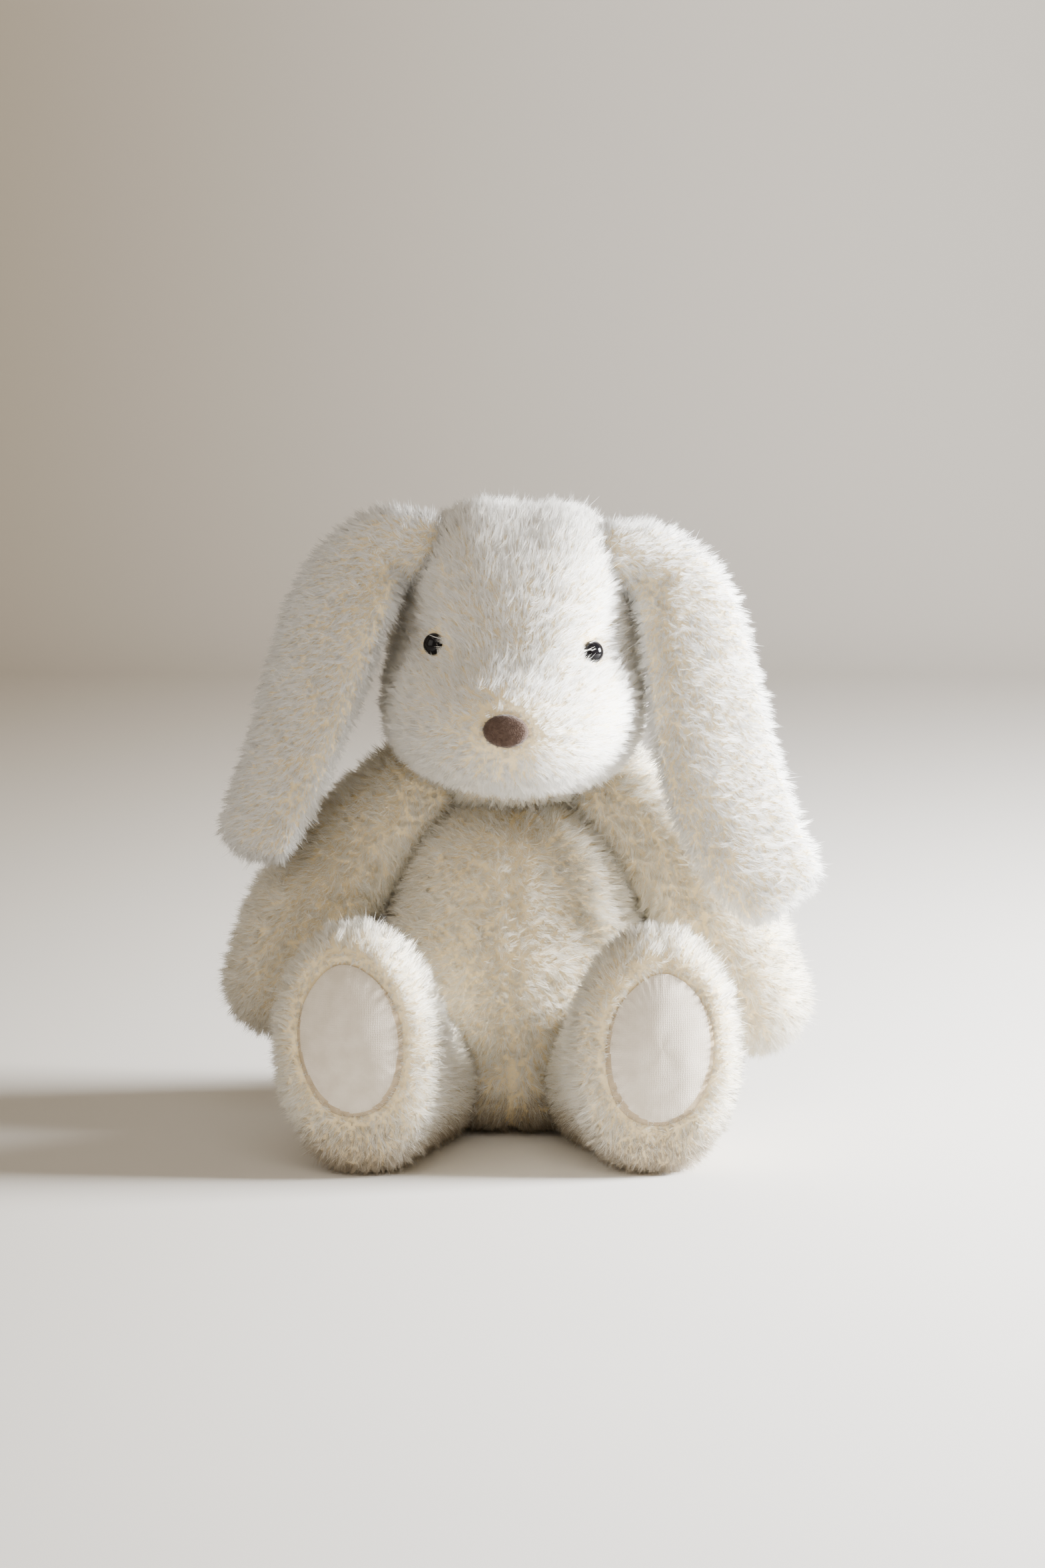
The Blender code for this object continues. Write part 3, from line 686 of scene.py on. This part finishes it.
# The first tone of a pile is its underfur's, darker and warmer as painted shade deep in the pile, and the
# body's last is painted shade for the strands near the floor
# Warmer and yellower than the head's and ears' tones: partly the body fur's own cream, partly painted warm
# shade
BODY_TONES = (
    (0.83, 0.72, 0.52),
    (0.93, 0.88, 0.76),
    (0.90, 0.84, 0.69),
    (0.95, 0.92, 0.84),
    # painted shade near the floor
    (0.52, 0.43, 0.31),
)
HEAD_TONES = ((0.92, 0.87, 0.77), (0.95, 0.93, 0.88), (0.93, 0.90, 0.82), (0.97, 0.96, 0.93))
EAR_TONES = ((0.91, 0.87, 0.78), (0.96, 0.95, 0.92), (0.95, 0.93, 0.88), (0.97, 0.96, 0.94))
FUZZ_TONES = ((0.05, 0.028, 0.02), (0.075, 0.045, 0.032), (0.12, 0.075, 0.055))
# The backing cloth: partly its own cream, partly a deep warm yellow as painted shade where it shows in
# crevices, seams and partings
COVER_SHADE_TONES = ((0.86, 0.72, 0.46), (0.80, 0.65, 0.39))
FELT_TONES = ((0.060, 0.034, 0.024), (0.085, 0.052, 0.038))
FILLING_TONES = ((0.93, 0.93, 0.92), (0.80, 0.80, 0.79))
BAG_TONES = ((0.72, 0.70, 0.66), (0.62, 0.60, 0.55))
THREAD_TONES = ((0.80, 0.77, 0.70), (0.70, 0.66, 0.58))
WASHER_TONES = ((0.75, 0.74, 0.70), (0.70, 0.69, 0.66))
LABEL_TONES = ((0.88, 0.87, 0.85), (0.83, 0.82, 0.79))
BEAD_TONES = ((0.004, 0.004, 0.005), (0.007, 0.006, 0.007))
WEAVE_TONES = ((0.66, 0.59, 0.50), (0.58, 0.51, 0.42))
# Painted shade along the sole pad's seam
SEAM_SHADE_TONES = ((0.50, 0.40, 0.27), (0.42, 0.33, 0.22))


def woven_material():
    """A plain weave of fine off-white yarns, from two crossed wave patterns."""
    made = mottled_material("sole_weave", WEAVE_TONES, 140.0, 0.9, sheen=0.1)
    tree = made.node_tree
    place = next(n for n in tree.nodes if n.type == "TEX_COORD")
    weave = add_node(made, "ShaderNodeMath", operation="MAXIMUM")
    for i, axis in enumerate(("X", "Z")):
        wave = add_node(made, "ShaderNodeTexWave", Scale=330.0, Distortion=4.0, Detail=3.0)
        wave.inputs["Detail Scale"].default_value = 1.5
        wave.bands_direction = axis
        link(made, place, "Object", wave, "Vector")
        link(made, wave, "Fac", weave, i)
    relief = add_node(made, "ShaderNodeBump", Strength=0.3, Distance=0.0003)
    link(made, weave, "Value", relief, "Height")
    link(made, relief, "Normal", tree.nodes["Principled BSDF"], "Normal")
    return made


COVER_LOOK = mottled_material("pile_ground_with_shade", COVER_SHADE_TONES, 60.0, 0.9, sheen=0.1)
PILE_LOOKS = pile_materials("pile_fibre", BODY_TONES)
LOOKS_WITHOUT_FLOOR_SHADE = PILE_LOOKS[:-1]
HEAD_LOOKS = pile_materials("head_fibre", HEAD_TONES)
EAR_LOOKS = pile_materials("ear_fibre", EAR_TONES)
FELT_LOOK = mottled_material("felt", FELT_TONES, 700.0, 0.95, 0.9, 1500.0, 0.3)
FELT_FUZZ = pile_materials("felt_fuzz", FUZZ_TONES)
FILLING_LOOK = mottled_material("filling", FILLING_TONES, 300.0, 1.0, 0.8)
BAG_LOOK = mottled_material("bag_cloth", BAG_TONES, 400.0, 0.9, 0.6)
THREAD_LOOK = mottled_material("thread", THREAD_TONES, 900.0, 0.8, 0.6)
WASHER_LOOK = mottled_material("washer", WASHER_TONES, 200.0, 0.45, 0.15)
LABEL_LOOK = mottled_material("label", LABEL_TONES, 1200.0, 0.5, 0.4)
SEAM_SHADE_LOOK = mottled_material("seam_shade", SEAM_SHADE_TONES, 200.0, 0.95)
BEAD_LOOK = mottled_material("bead", BEAD_TONES, 300.0, 0.1, 0.02, 400.0, specular=0.18)
SOLE_LOOK = woven_material()


# ---------------------------------------------------------------- pieces


def soft_piece(piece, body, nodes):
    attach(piece, body)
    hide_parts(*nodes)


def add_pile(pieces, body):
    for piece in pieces:
        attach(piece, body)


def stuffed_cover(name, points, faces, seams, voxel=4.0, swell=1.6, valley=1.0):
    """The sewn cover itself: remeshed, stuffed, smoothed and pressed in along its seams."""
    piece = add_piece(name, points, faces, [COVER_LOOK])
    remesh(piece, voxel)
    puff(piece, seams, swell)
    subdivide(piece)
    sink_seams(piece, seams, valley)
    rest_on_floor(piece)
    return piece


SEAT_SPREAD = 0.3  # how much wider the belly gets on the floor
BELLY_SEAM = 0.9  # half the width of the parting along the belly's middle seam


def settled(points):
    """Spreads the lowest part of the belly over the floor, as its weight does."""
    share = fade(points[:, 2], 38.0, 4.0) * fade(points[:, 1], 10.0, -30.0)
    spread = 1.0 + SEAT_SPREAD * share
    return points * np.column_stack([spread, spread, np.ones(len(points))])


def build_body():
    place = lobed_skin(BODY_CENTRE, BODY_LOBES, UP)
    downs = np.linspace(4, SEAT_EDGE, 140)
    seams = [place(around, downs, SEAM_RAISE) for around in (0.0, 90.0, 180.0, 270.0)]
    seams.append(place(np.arange(0, 360, 2.0), SEAT_EDGE, SEAM_RAISE))
    seams = np.concatenate(seams)
    seams[:, 2] = np.maximum(seams[:, 2], 0.0)
    points, faces = lobed_solid(place, COVER_RAISE, BODY_COUNTS)
    cover = stuffed_cover("body_cover", above_floor(settled(points)), faces, settled(seams))
    panels = [f"body_{end}_{side}" for end in ("front", "back") for side in SIDES]
    soft_piece(cover, "body", [*panels, "seat_panel"])

    def comb(roots, up):
        down = np.tile((0.0, 0.0, -1.0), (len(roots), 1))
        down[:, 0] = np.sign(roots[:, 0]) * 0.5
        return down

    def keep(roots):
        """Thinner along the middle seam, and nearly bare under the seat."""
        low = fade(roots[:, 2], 80.0, 40.0)
        parting = np.exp(-((roots[:, 0] / (BELLY_SEAM + 0.2 * low)) ** 2))
        return (1.0 - (0.5 + 0.2 * low) * parting) * np.where(roots[:, 2] < 1.5, 0.15, 1.0)

    def length(roots):
        low = fade(roots[:, 2], 75.0, 25.0)
        return PILE_LENGTH * (1.0 - 0.6 * low * np.exp(-((roots[:, 0] / 2.2) ** 2)))

    growth = Growth(comb, length=length, lean=30.0, wander=0.7, drift=0.6, floor_shade=True)
    add_pile(grow("body_pile", cover, growth, PILE_LOOKS, SEEDS["body"], keep), "body")


def build_neck():
    """The gathered cloth between body and head, which hides the thread that draws it together."""
    angles = np.linspace(0, pi, 15)
    points, faces = turned([(sin(a), -cos(a)) for a in angles], 40, (0, 0, 0), UP)
    piece = add_piece("neck_cover", points * NECK_HALF + NECK + NECK_OFFSET, faces, [COVER_LOOK])
    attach(piece, "neck")

    def comb(roots, up):
        return np.tile((0.0, 0.2, -1.0), (len(roots), 1))

    growth = Growth(comb, length=6.5, lean=25.0, wander=0.7, drift=0.6)
    add_pile(grow("neck_pile", piece, growth, LOOKS_WITHOUT_FLOOR_SHADE, SEEDS["neck"]), "neck")


TEMPLE_RECESS = 4.0
FOREHEAD_HALF = 33.0  # half the forehead panel's width at the eyes
FOREHEAD_SPREAD = 0.22  # how much wider each millimetre above the eyes
NOSE_PATCH = (11.0, 40.0, 8.3)  # half the patch without pile at the nose
EYE_PATCH = 4.8  # around an eye, without pile
EYE_RIM = 7.0  # around it, with a few thick strands that lie across the eye


def beside_forehead(points):
    """How far a point in head coordinates is outside the forehead panel's edge."""
    return np.abs(points[:, 0]) - FOREHEAD_HALF - FOREHEAD_SPREAD * (points[:, 2] - EYE_PLACE[1])


def recess_temples(points):
    """Sets the sides of the face back from the forehead panel, from the ears down to the eyes."""
    points = np.array(points, float)
    outside = fade(beside_forehead(points), 0.0, 5.0)
    tall = fade(points[:, 2], 50.0, 64.0) * fade(points[:, 2], 104.0, 82.0)
    front = fade(points[:, 1], 4.0, -22.0)
    depth = TEMPLE_RECESS * outside * tall * front
    return points - unit(points - HEAD_CENTRE) * depth[:, None]


def forehead_share(local):
    """1 on the forehead, where the pile is longer, fading to 0 around it, in head coordinates."""
    middle = fade(np.abs(local[:, 0]), 34.0, 16.0)
    return middle * fade(local[:, 2], 44.0, 60.0) * fade(local[:, 1], -10.0, -30.0)


def build_head():
    place = lobed_skin(HEAD_CENTRE, HEAD_LOBES, HEAD_POLE)
    seams = head_to_world(place(np.arange(0, 360, 2.0), HEAD_BACK_EDGE, SEAM_RAISE))
    points, faces = lobed_solid(place, COVER_RAISE, HEAD_COUNTS)
    cover = stuffed_cover("head_cover", head_to_world(recess_temples(points)), faces, seams, valley=0.3)
    soft_piece(cover, "head", ["face_left", "face_right", "head_back"])

    nose = head_to_world(surface_spot(0.0, NOSE_HEIGHT)[0])
    across, height = EYE_PLACE
    eyes = [head_to_world(surface_spot(sign * across, height)[0]) for sign in SIDES.values()]

    def from_nose(roots):
        return np.linalg.norm((roots - nose) / NOSE_PATCH, axis=1)

    def comb(roots, up):
        """Away from the nose, but inwards at the rims of the eyes and the nose."""
        way = unit(roots - nose) + 0.25 * UP
        for eye in eyes:
            close = fade(np.linalg.norm(eye - roots, axis=1), 8.0, 6.0)[:, None]
            way = way * (1 - close) + unit(eye - roots) * close
        close = fade(from_nose(roots), 1.3, 1.15)[:, None]
        return way * (1 - close) + unit(nose - roots) * close

    def length(roots):
        local = world_to_head(roots)
        size = 6.2 + 2.2 * forehead_share(local) + 1.2 * fade(local[:, 2], 96.0, 112.0)
        size *= np.clip(np.linalg.norm(roots - nose, axis=1) / 24.0, 0.45, 1.0)
        for eye in eyes:
            near = np.linalg.norm(roots - eye, axis=1)
            size *= np.where(near < EYE_RIM, 1.05, np.clip(near / 10.0, 0.75, 1.0))
        return size

    def width(roots):
        near = np.min([np.linalg.norm(roots - eye, axis=1) for eye in eyes], axis=0)
        return np.where(near < EYE_RIM, 0.5, PILE_WIDTH)

    def gather(roots):
        return 0.66 + 0.12 * forehead_share(world_to_head(roots))

    def keep(roots):
        share = np.ones(len(roots))
        share[from_nose(roots) < 1.0] = 0.0
        for eye in eyes:
            near = np.linalg.norm(roots - eye, axis=1)
            share[near < EYE_RIM] = 0.12
            share[near < EYE_PATCH] = 0.0
        return share

    growth = Growth(comb, length=length, width=width, lean=42.0, gather=gather, clump=2.3)
    add_pile(grow("head_pile", cover, growth, HEAD_LOOKS, SEEDS["head"], keep), "head")


def surface_spot(across, height):
    """The point of the face at a place across and above the neck, and its normal, in head coordinates."""
    start = np.array((across, HEAD_CENTRE[1], height))
    spot = start + FORWARD * skin_reach(start, FORWARD[None], HEAD_LOBES)[0]
    return spot, skin_normal(spot, HEAD_LOBES)


def turned(profile, count, place, axis):
    """A profile of (radius, height) turned around an axis through a place."""
    basis = np.array(Vector(axis).to_track_quat("Z", "Y").to_matrix())
    turn = [2 * pi * j / count for j in range(count)]
    rings = []
    for radius, height in profile[1:-1]:
        ring = np.array([(radius * cos(a), radius * sin(a), height) for a in turn])
        rings.append(ring @ basis.T + np.array(place))
    poles = [np.array((0.0, 0.0, profile[i][1])) @ basis.T + np.array(place) for i in (0, -1)]
    return closed_rings(rings, *poles)


def build_eyes():
    """A glossy dome for each eye, with its shank behind it."""
    shank = [
        (0.0, -SHANK_LENGTH),
        (SHANK_RADIUS - EYE_ROUNDING, -SHANK_LENGTH),
        (SHANK_RADIUS, 0.8 - SHANK_LENGTH),
        (SHANK_RADIUS, EYE_BACK),
    ]
    edge = [(EYE_RADIUS - EYE_ROUNDING, EYE_BACK), (EYE_RADIUS - 0.1, EYE_BACK + 0.15)]
    dome = [(EYE_RADIUS * cos(a), EYE_LIFT + EYE_DOME * sin(a)) for a in np.linspace(0, pi / 2, 14)]
    for side, sign in SIDES.items():
        spot, out = surface_spot(sign * EYE_PLACE[0], EYE_PLACE[1])
        points, faces = turned(shank + edge + dome, 48, spot, out)
        piece = add_piece(f"eye_bead_{side}", head_to_world(points), faces, [BEAD_LOOK])
        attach(piece, "head")
        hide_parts(f"eye_{side}")


# The nose's outline as shares of its half size and of its height, from the back's middle to the crown
NOSE_PROFILE = (
    ((0.0, 0.0), (0.5, 0.0), (0.8, 0.0), (0.95, 0.1), (1.0, 0.4), (0.97, 0.75), (0.9, 0.92))
    + ((0.8, 1.0), (0.6, 1.0), (0.4, 1.0), (0.2, 1.0), (0.0, 1.0))
)


def build_nose():
    """A thick oval of felt with a soft crown and a fuzz of its own."""
    spot, out = surface_spot(0.0, NOSE_HEIGHT)
    basis = np.array(Vector(out).to_track_quat("Z", "Y").to_matrix())
    angles = np.linspace(0, 2 * pi, 48, endpoint=False)
    levels = []
    for share, level in NOSE_PROFILE:
        height = level * (NOSE_THICK + NOSE_CROWN * (1 - share**2))
        wide, tall = NOSE_HALF[0] * share, NOSE_HALF[1] * share
        ring = np.stack([wide * np.cos(angles), tall * np.sin(angles), np.full(len(angles), height)], axis=1)
        levels.append(ring @ basis.T + spot + out * NOSE_LIFT)
    points, faces = closed_rings(levels[1:-1], levels[0][0], levels[-1][0])
    piece = add_piece("nose_felt_pad", head_to_world(points), faces, [FELT_LOOK])
    subdivide(piece)
    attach(piece, "head")
    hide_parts("nose")

    def comb(roots, up):
        return unit(roots - head_to_world(spot))

    growth = Growth(comb, density=14.0, length=1.0, width=0.12, lean=60.0, clump=0.8, wander=0.9)
    add_pile(grow("nose_fuzz", piece, growth, FELT_FUZZ, SEEDS["nose"]), "head")


def limb_comb(stations, up_hint):
    """Combs from a limb's root to its tip."""
    centres = [s[0] for s in stations]
    frames = [limb_frame(centres, share, up_hint) for share in np.linspace(0, 1, 40)]
    middles = np.array([f[0] for f in frames])
    aheads = np.array([f[1] for f in frames])

    def comb(roots, up):
        near = ((roots[:, None, :] - middles[None]) ** 2).sum(2).argmin(1)
        return aheads[near]

    return comb


def limb_cover(stations, counts, up_hint, seam_angles, **options):
    """A limb's cover as points and faces, and the points along its seams."""
    around, along, dome = counts
    angles = np.arange(around) * 2 * pi / around
    rings, start, end = limb_rings(stations, angles, COVER_RAISE, (along, dome), up_hint, **options)
    points, faces = closed_rings(rings, start, end)
    seam_rings, _, _ = limb_rings(stations, seam_angles, SEAM_RAISE, (160, dome), up_hint, **options)
    return above_floor(points), faces, np.concatenate(seam_rings)


def build_arm(side):
    stations = ARM_STATIONS[side]
    body = f"arm_{side}"
    points, faces, seams = limb_cover(stations, LIMB_COUNTS["arm"], FORWARD, (0.0, pi))
    cover = stuffed_cover(f"arm_cover_{side}", points, faces, seams)
    soft_piece(cover, body, [f"arm_outer_{side}", f"arm_inner_{side}"])
    growth = Growth(limb_comb(stations, FORWARD), length=7.5, lean=32.0, wander=0.7, drift=0.6)
    pile = grow(f"arm_pile_{side}", cover, growth, LOOKS_WITHOUT_FLOOR_SHADE, SEEDS["arm"] + SIDES[side])
    add_pile(pile, body)


FOOT_FRONT = 12.0  # how far behind its face a foot's front reaches
SOLE_SUNK = 1.0  # how far behind the foot's face its cover is drawn
SOLE_SWELL = 6.5  # how far the pad bulges over its seam
SOLE_BACK = 0.6  # from the foot's face to the pad's back
SOLE_EDGE = 0.2  # and to the pad's seam
SOLE_COUNTS = (180, 30)  # points around and rings
SOLE_GATHERS = 34


def sole_frame(side):
    """The middle of a foot's face, and the ways ahead, across and up from there."""
    stations = LEG_STATIONS[side]
    middle, ahead, across, up = limb_frame([s[0] for s in stations], 1.0, UP, FOOT_FACES[side])
    turn = radians(FOOT_TWIST[side])
    return middle, ahead, across * cos(turn) + up * sin(turn), up * cos(turn) - across * sin(turn)


def seat_the_sole(cover, side):
    """Draws the foot's cover back under its sole pad, which leaves the pad's seam in a valley."""
    middle, ahead, across, up = sole_frame(side)
    points = coordinates(cover.data) / MM
    offset = points - middle
    share = np.hypot(offset @ across / SOLE_HALF[0], offset @ up / SOLE_HALF[1])
    height = offset @ ahead
    sunk = fade(share, 1.02, 0.96) * (height > -FOOT_FRONT)
    points -= np.outer(sunk * np.maximum(height + SOLE_SUNK, 0.0), ahead)
    set_coordinates(cover.data, points * MM)


def build_leg(side):
    stations = LEG_STATIONS[side]
    body = f"leg_{side}"
    options = {"facing": FOOT_FACES[side], "twist": FOOT_TWIST[side]}
    points, faces, seams = limb_cover(stations, LIMB_COUNTS["leg"], UP, (pi / 2, -pi / 2), **options)
    cover = stuffed_cover(f"leg_cover_{side}", points, faces, seams)
    soft_piece(cover, body, [f"leg_outer_{side}", f"leg_inner_{side}"])
    middle, ahead, across, up = sole_frame(side)
    seat_the_sole(cover, side)
    along = limb_comb(stations, UP)

    def sole_share(roots):
        """Where the roots are from the sole's middle, 1 at its edge and far more behind the foot's face."""
        offset = roots - middle
        share = np.hypot(offset @ across / SOLE_HALF[0], offset @ up / SOLE_HALF[1])
        return share + np.where(offset @ ahead > -8.0, 0.0, 10.0), offset

    def comb(roots, normal):
        """Outwards around the sole, inwards over its seam, and along the leg elsewhere."""
        share, offset = sole_share(roots)
        outward = unit(offset - np.outer(offset @ ahead, ahead))
        rim = (share < 1.12)[:, None]
        around = np.where(rim, 0.3 * ahead - outward, outward + 0.3 * ahead)
        return np.where((share < 5.0)[:, None], around, along(roots, normal) + 0.4 * outward)

    def keep(roots):
        share, _ = sole_share(roots)
        return np.where(share < 0.97, 0.0, 1.0) * np.where(roots[:, 2] < 1.0, 0.2, 1.0)

    def length(roots):
        share, _ = sole_share(roots)
        return 6.0 - 2.4 * fade(share, 1.2, 1.0)

    growth = Growth(comb, length=length, lean=32.0, floor_shade=True)
    pile = grow(f"leg_pile_{side}", cover, growth, PILE_LOOKS, SEEDS["leg"] + SIDES[side], keep)
    add_pile(pile, body)
    build_sole(side)


def sole_outline(angle):
    """The pad's half size at an angle, as an egg that is wider at the heel and drawn in on its inner edge."""
    wide = SOLE_HALF[0] * (1.0 - 0.09 * sin(angle)) * cos(angle)
    tall = SOLE_HALF[1] * sin(angle) * (0.92 if angle < pi else 1.0)
    return np.array((wide, tall)) * (1.02 + 0.015 * sin(2 * angle + 0.6) + 0.01 * sin(5 * angle))


def build_sole(side):
    """The woven pad on a foot, swollen between its seam, with small gathers along its edge."""
    middle, ahead, across, up = sole_frame(side)
    inner = pi if side == "left" else 0.0
    count, rings = SOLE_COUNTS
    crown = SOLE_EDGE + SOLE_SWELL

    def spot(angle, share, height):
        wide, tall = sole_outline(angle) * share
        return middle + across * wide + up * tall + ahead * height

    angles = [2 * pi * j / count for j in range(count)]
    levels = []
    for share in 1.0 - np.linspace(0.0, 0.99, rings) ** 1.5:
        level = []
        for a in angles:
            near_inner = 0.1 + 0.9 * (0.5 + 0.5 * cos(a - inner)) ** 3
            fold = sin(SOLE_GATHERS * a + 2.5 * sin(3 * a)) * share**14 * (1 - share) * 15.0 * near_inner
            lump = 0.7 * sin(3 * a + 5 * share) * share * (1 - share)
            height = SOLE_EDGE + SOLE_SWELL * (1 - share**2.2) ** 0.8 + fold + lump
            level.append(spot(a, share, height))
        levels.append(level)
    back = [spot(a, 0.96, -SOLE_BACK) for a in angles]
    points, faces = closed_rings([back, *levels], middle - ahead * SOLE_BACK, spot(0.0, 0.0, crown))
    piece = add_piece(f"sole_pad_{side}", points, faces, [SOLE_LOOK, SEAM_SHADE_LOOK])
    # Painted shade: the faces along the pad's seam take the seam-shade material
    for face in piece.data.polygons:
        offset = np.array(face.center) / MM - middle
        share = np.hypot(offset @ across / SOLE_HALF[0], offset @ up / SOLE_HALF[1])
        face.material_index = int(share > 0.95 and offset @ ahead < 2.2)
    soft_piece(piece, f"leg_{side}", [f"sole_{side}"])


def build_ear(side):
    stations = EAR_STATIONS[side]
    body = f"ear_{side}"
    facing = np.array(EAR_FACES[side])
    points, faces, seams = limb_cover(stations, LIMB_COUNTS["ear"], facing, (0.0, pi))
    cover = stuffed_cover(f"ear_cover_{side}", points, faces, seams, voxel=3.0, swell=1.0, valley=0.3)
    soft_piece(cover, body, [f"ear_outer_{side}", f"ear_lining_{side}"])
    growth = Growth(limb_comb(stations, facing), length=6.4, clump=2.0, drift=0.2)
    pile = grow(f"ear_pile_{side}", cover, growth, EAR_LOOKS, SEEDS["ear"] + SIDES[side])
    add_pile(pile, body)


TAIL_STAND = 0.62  # of its radius, from the back to the tail's middle
TAIL_FLATNESS = 0.8  # of its radius, on the side against the back


def build_tail():
    start = np.array((0.0, 0.0, TAIL_HEIGHT))
    spot = start - FORWARD * skin_reach(start, -FORWARD[None], BODY_LOBES)[0]
    out = skin_normal(spot, BODY_LOBES)
    place = spot + out * TAIL_RADIUS * TAIL_STAND
    profile = []
    for a in np.linspace(0, pi, 25):
        depth = TAIL_RADIUS * (TAIL_FLATNESS if a < pi / 2 else 1.0)
        profile.append((TAIL_RADIUS * sin(a), -depth * cos(a)))
    points, faces = turned(profile, 40, place, out)
    piece = add_piece("tail_ball", points, faces, [COVER_LOOK])
    soft_piece(piece, "body", ["tail"])

    def comb(roots, up):
        return np.tile((0.0, 0.3, -1.0), (len(roots), 1))

    growth = Growth(comb, density=4.0, length=7.5, lean=20.0, wander=0.6)
    add_pile(grow("tail_pile", piece, growth, EAR_LOOKS, SEEDS["tail"]), "body")


CAD_LOOKS = {
    "stuffing": FILLING_LOOK,
    "pellet_bag": BAG_LOOK,
    "closing_stitches": THREAD_LOOK,
    "neck_thread": THREAD_LOOK,
    "care_label": LABEL_LOOK,
    "eye_washer": WASHER_LOOK,
}


def dress_cad_nodes():
    """Procedural finishes for the CAD nodes that stay, by what is in their names."""
    for name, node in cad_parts.items():
        for part, look in CAD_LOOKS.items():
            if part in name:
                for slot in node.material_slots:
                    slot.material = look


# ---------------------------------------------------------------- studio


PAPER_TONES = ((0.80, 0.78, 0.75), (0.78, 0.76, 0.73))
# Painted shade on the near paper's left, and painted shade and light on the far end's left and right, as the
# key light falls off from right to left
PAPER_LEFT_SHADE = (0.46, 0.43, 0.38)
PAPER_FAR_LEFT_SHADE = (0.35, 0.30, 0.23)
PAPER_FAR_RIGHT_LIGHT = (0.92, 0.90, 0.87)
STAGE_HALF = 4.0  # half its width, and how far it reaches to the front
STAGE_BEND = 2.0  # where it starts to curve up, with a radius of 1 m
STAGE_HEIGHT = 3.0
LIGHTS = {
    # place, side, watts and colour
    "key": ((1.45, -0.04, 0.56), 0.5, 210.0, (0.98, 0.99, 1.0)),
    "front": ((0.25, -2.0, 2.3), 1.8, 18.0, (1.0, 0.95, 0.88)),
    "left": ((-1.7, -1.1, 0.9), 1.4, 12.0, (1.0, 0.96, 0.90)),
}
LIGHT_TARGET = Vector((0.0, 0.0, 0.12))
WORLD_COLOUR = (1.0, 0.82, 0.59)
WORLD_STRENGTH = 0.41


def blend_tones(made, factor, first, second):
    """A colour that goes from one tone to the other; each is a plain colour or a node's output."""
    mix = add_node(made, "ShaderNodeMix", data_type="RGBA")
    made.node_tree.links.new(factor, mix.inputs[0])
    for socket, tone in ((mix.inputs[6], first), (mix.inputs[7], second)):
        if isinstance(tone, tuple):
            socket.default_value = (*tone, 1.0)
        else:
            made.node_tree.links.new(tone, socket)
    return mix.outputs[2]


def ramp_along(made, split, axis, start, end):
    """A value that eases from 0 to 1 between two places along an axis, in metres."""
    share = add_node(made, "ShaderNodeMapRange", interpolation_type="SMOOTHSTEP")
    share.inputs["From Min"].default_value = start
    share.inputs["From Max"].default_value = end
    link(made, split, axis, share, "Value")
    return share.outputs["Result"]


def paper_material():
    """Pale paper with painted shade towards the left, and a far end with painted shade on the left and
    painted light on the right.
    """
    made = mottled_material("paper", PAPER_TONES, 3.0, 0.9, 0.02, 300.0)
    tree = made.node_tree
    ramp = next(n for n in tree.nodes if n.type == "VALTORGB")
    place = next(n for n in tree.nodes if n.type == "TEX_COORD")
    split = add_node(made, "ShaderNodeSeparateXYZ")
    link(made, place, "Object", split, "Vector")
    across_near = ramp_along(made, split, "X", -0.45, 0.15)
    near = blend_tones(made, across_near, PAPER_LEFT_SHADE, ramp.outputs["Color"])
    across_far = ramp_along(made, split, "X", -0.9, 0.9)
    far = blend_tones(made, across_far, PAPER_FAR_LEFT_SHADE, PAPER_FAR_RIGHT_LIGHT)
    painted_light_and_shade = blend_tones(made, ramp_along(made, split, "Y", 0.05, 1.8), near, far)
    tree.links.new(painted_light_and_shade, tree.nodes["Principled BSDF"].inputs["Base Color"])
    return made


def build_stage():
    """A pale sweep: a floor that curves up far behind."""
    profile = [(-STAGE_HALF, 0.0)]
    profile += [(STAGE_BEND + sin(a), 1 - cos(a)) for a in np.linspace(0, pi / 2, 16)]
    profile += [(STAGE_BEND + 1.0, STAGE_HEIGHT)]
    points = [(x / MM, y / MM, z / MM) for y, z in profile for x in (-STAGE_HALF, STAGE_HALF)]
    faces = [(2 * i, 2 * i + 1, 2 * i + 3, 2 * i + 2) for i in range(len(profile) - 1)]
    floor = add_piece("floor", points, faces, [paper_material()])
    floor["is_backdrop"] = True


def add_light(name, place, size, power, colour):
    data = bpy.data.lights.new(name, "AREA")
    data.shape = "RECTANGLE"
    data.size, data.size_y = size, size
    data.energy = power
    data.color = colour
    light = bpy.data.objects.new(name, data)
    light.location = place
    light.rotation_euler = (LIGHT_TARGET - Vector(place)).to_track_quat("-Z", "Y").to_euler()
    bpy.context.scene.collection.objects.link(light)


def build_studio():
    build_stage()
    for name, values in LIGHTS.items():
        add_light(name, *values)
    world = bpy.data.worlds.new("studio")
    world.use_nodes = True
    background = world.node_tree.nodes["Background"]
    background.inputs["Color"].default_value = (*WORLD_COLOUR, 1.0)
    background.inputs["Strength"].default_value = WORLD_STRENGTH
    bpy.context.scene.world = world


def build_camera():
    data = bpy.data.cameras.new("camera")
    data.lens = LENS
    camera = bpy.data.objects.new("camera", data)
    rise = radians(CAMERA_RISE)
    camera.location = LOOK_AT + CAMERA_DISTANCE * Vector((0.0, -cos(rise), sin(rise)))
    camera.rotation_euler = (pi / 2 - rise, 0.0, 0.0)
    bpy.context.scene.collection.objects.link(camera)
    bpy.context.scene.camera = camera


build_camera()
build_studio()
build_body()
build_tail()
build_neck()
build_head()
build_eyes()
build_nose()
for side in SIDES:
    build_arm(side)
    build_leg(side)
    build_ear(side)
dress_cad_nodes()

boxes = {"cad": cad_box, "visual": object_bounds()}
{name: [list(corner) for corner in box] for name, box in boxes.items()}
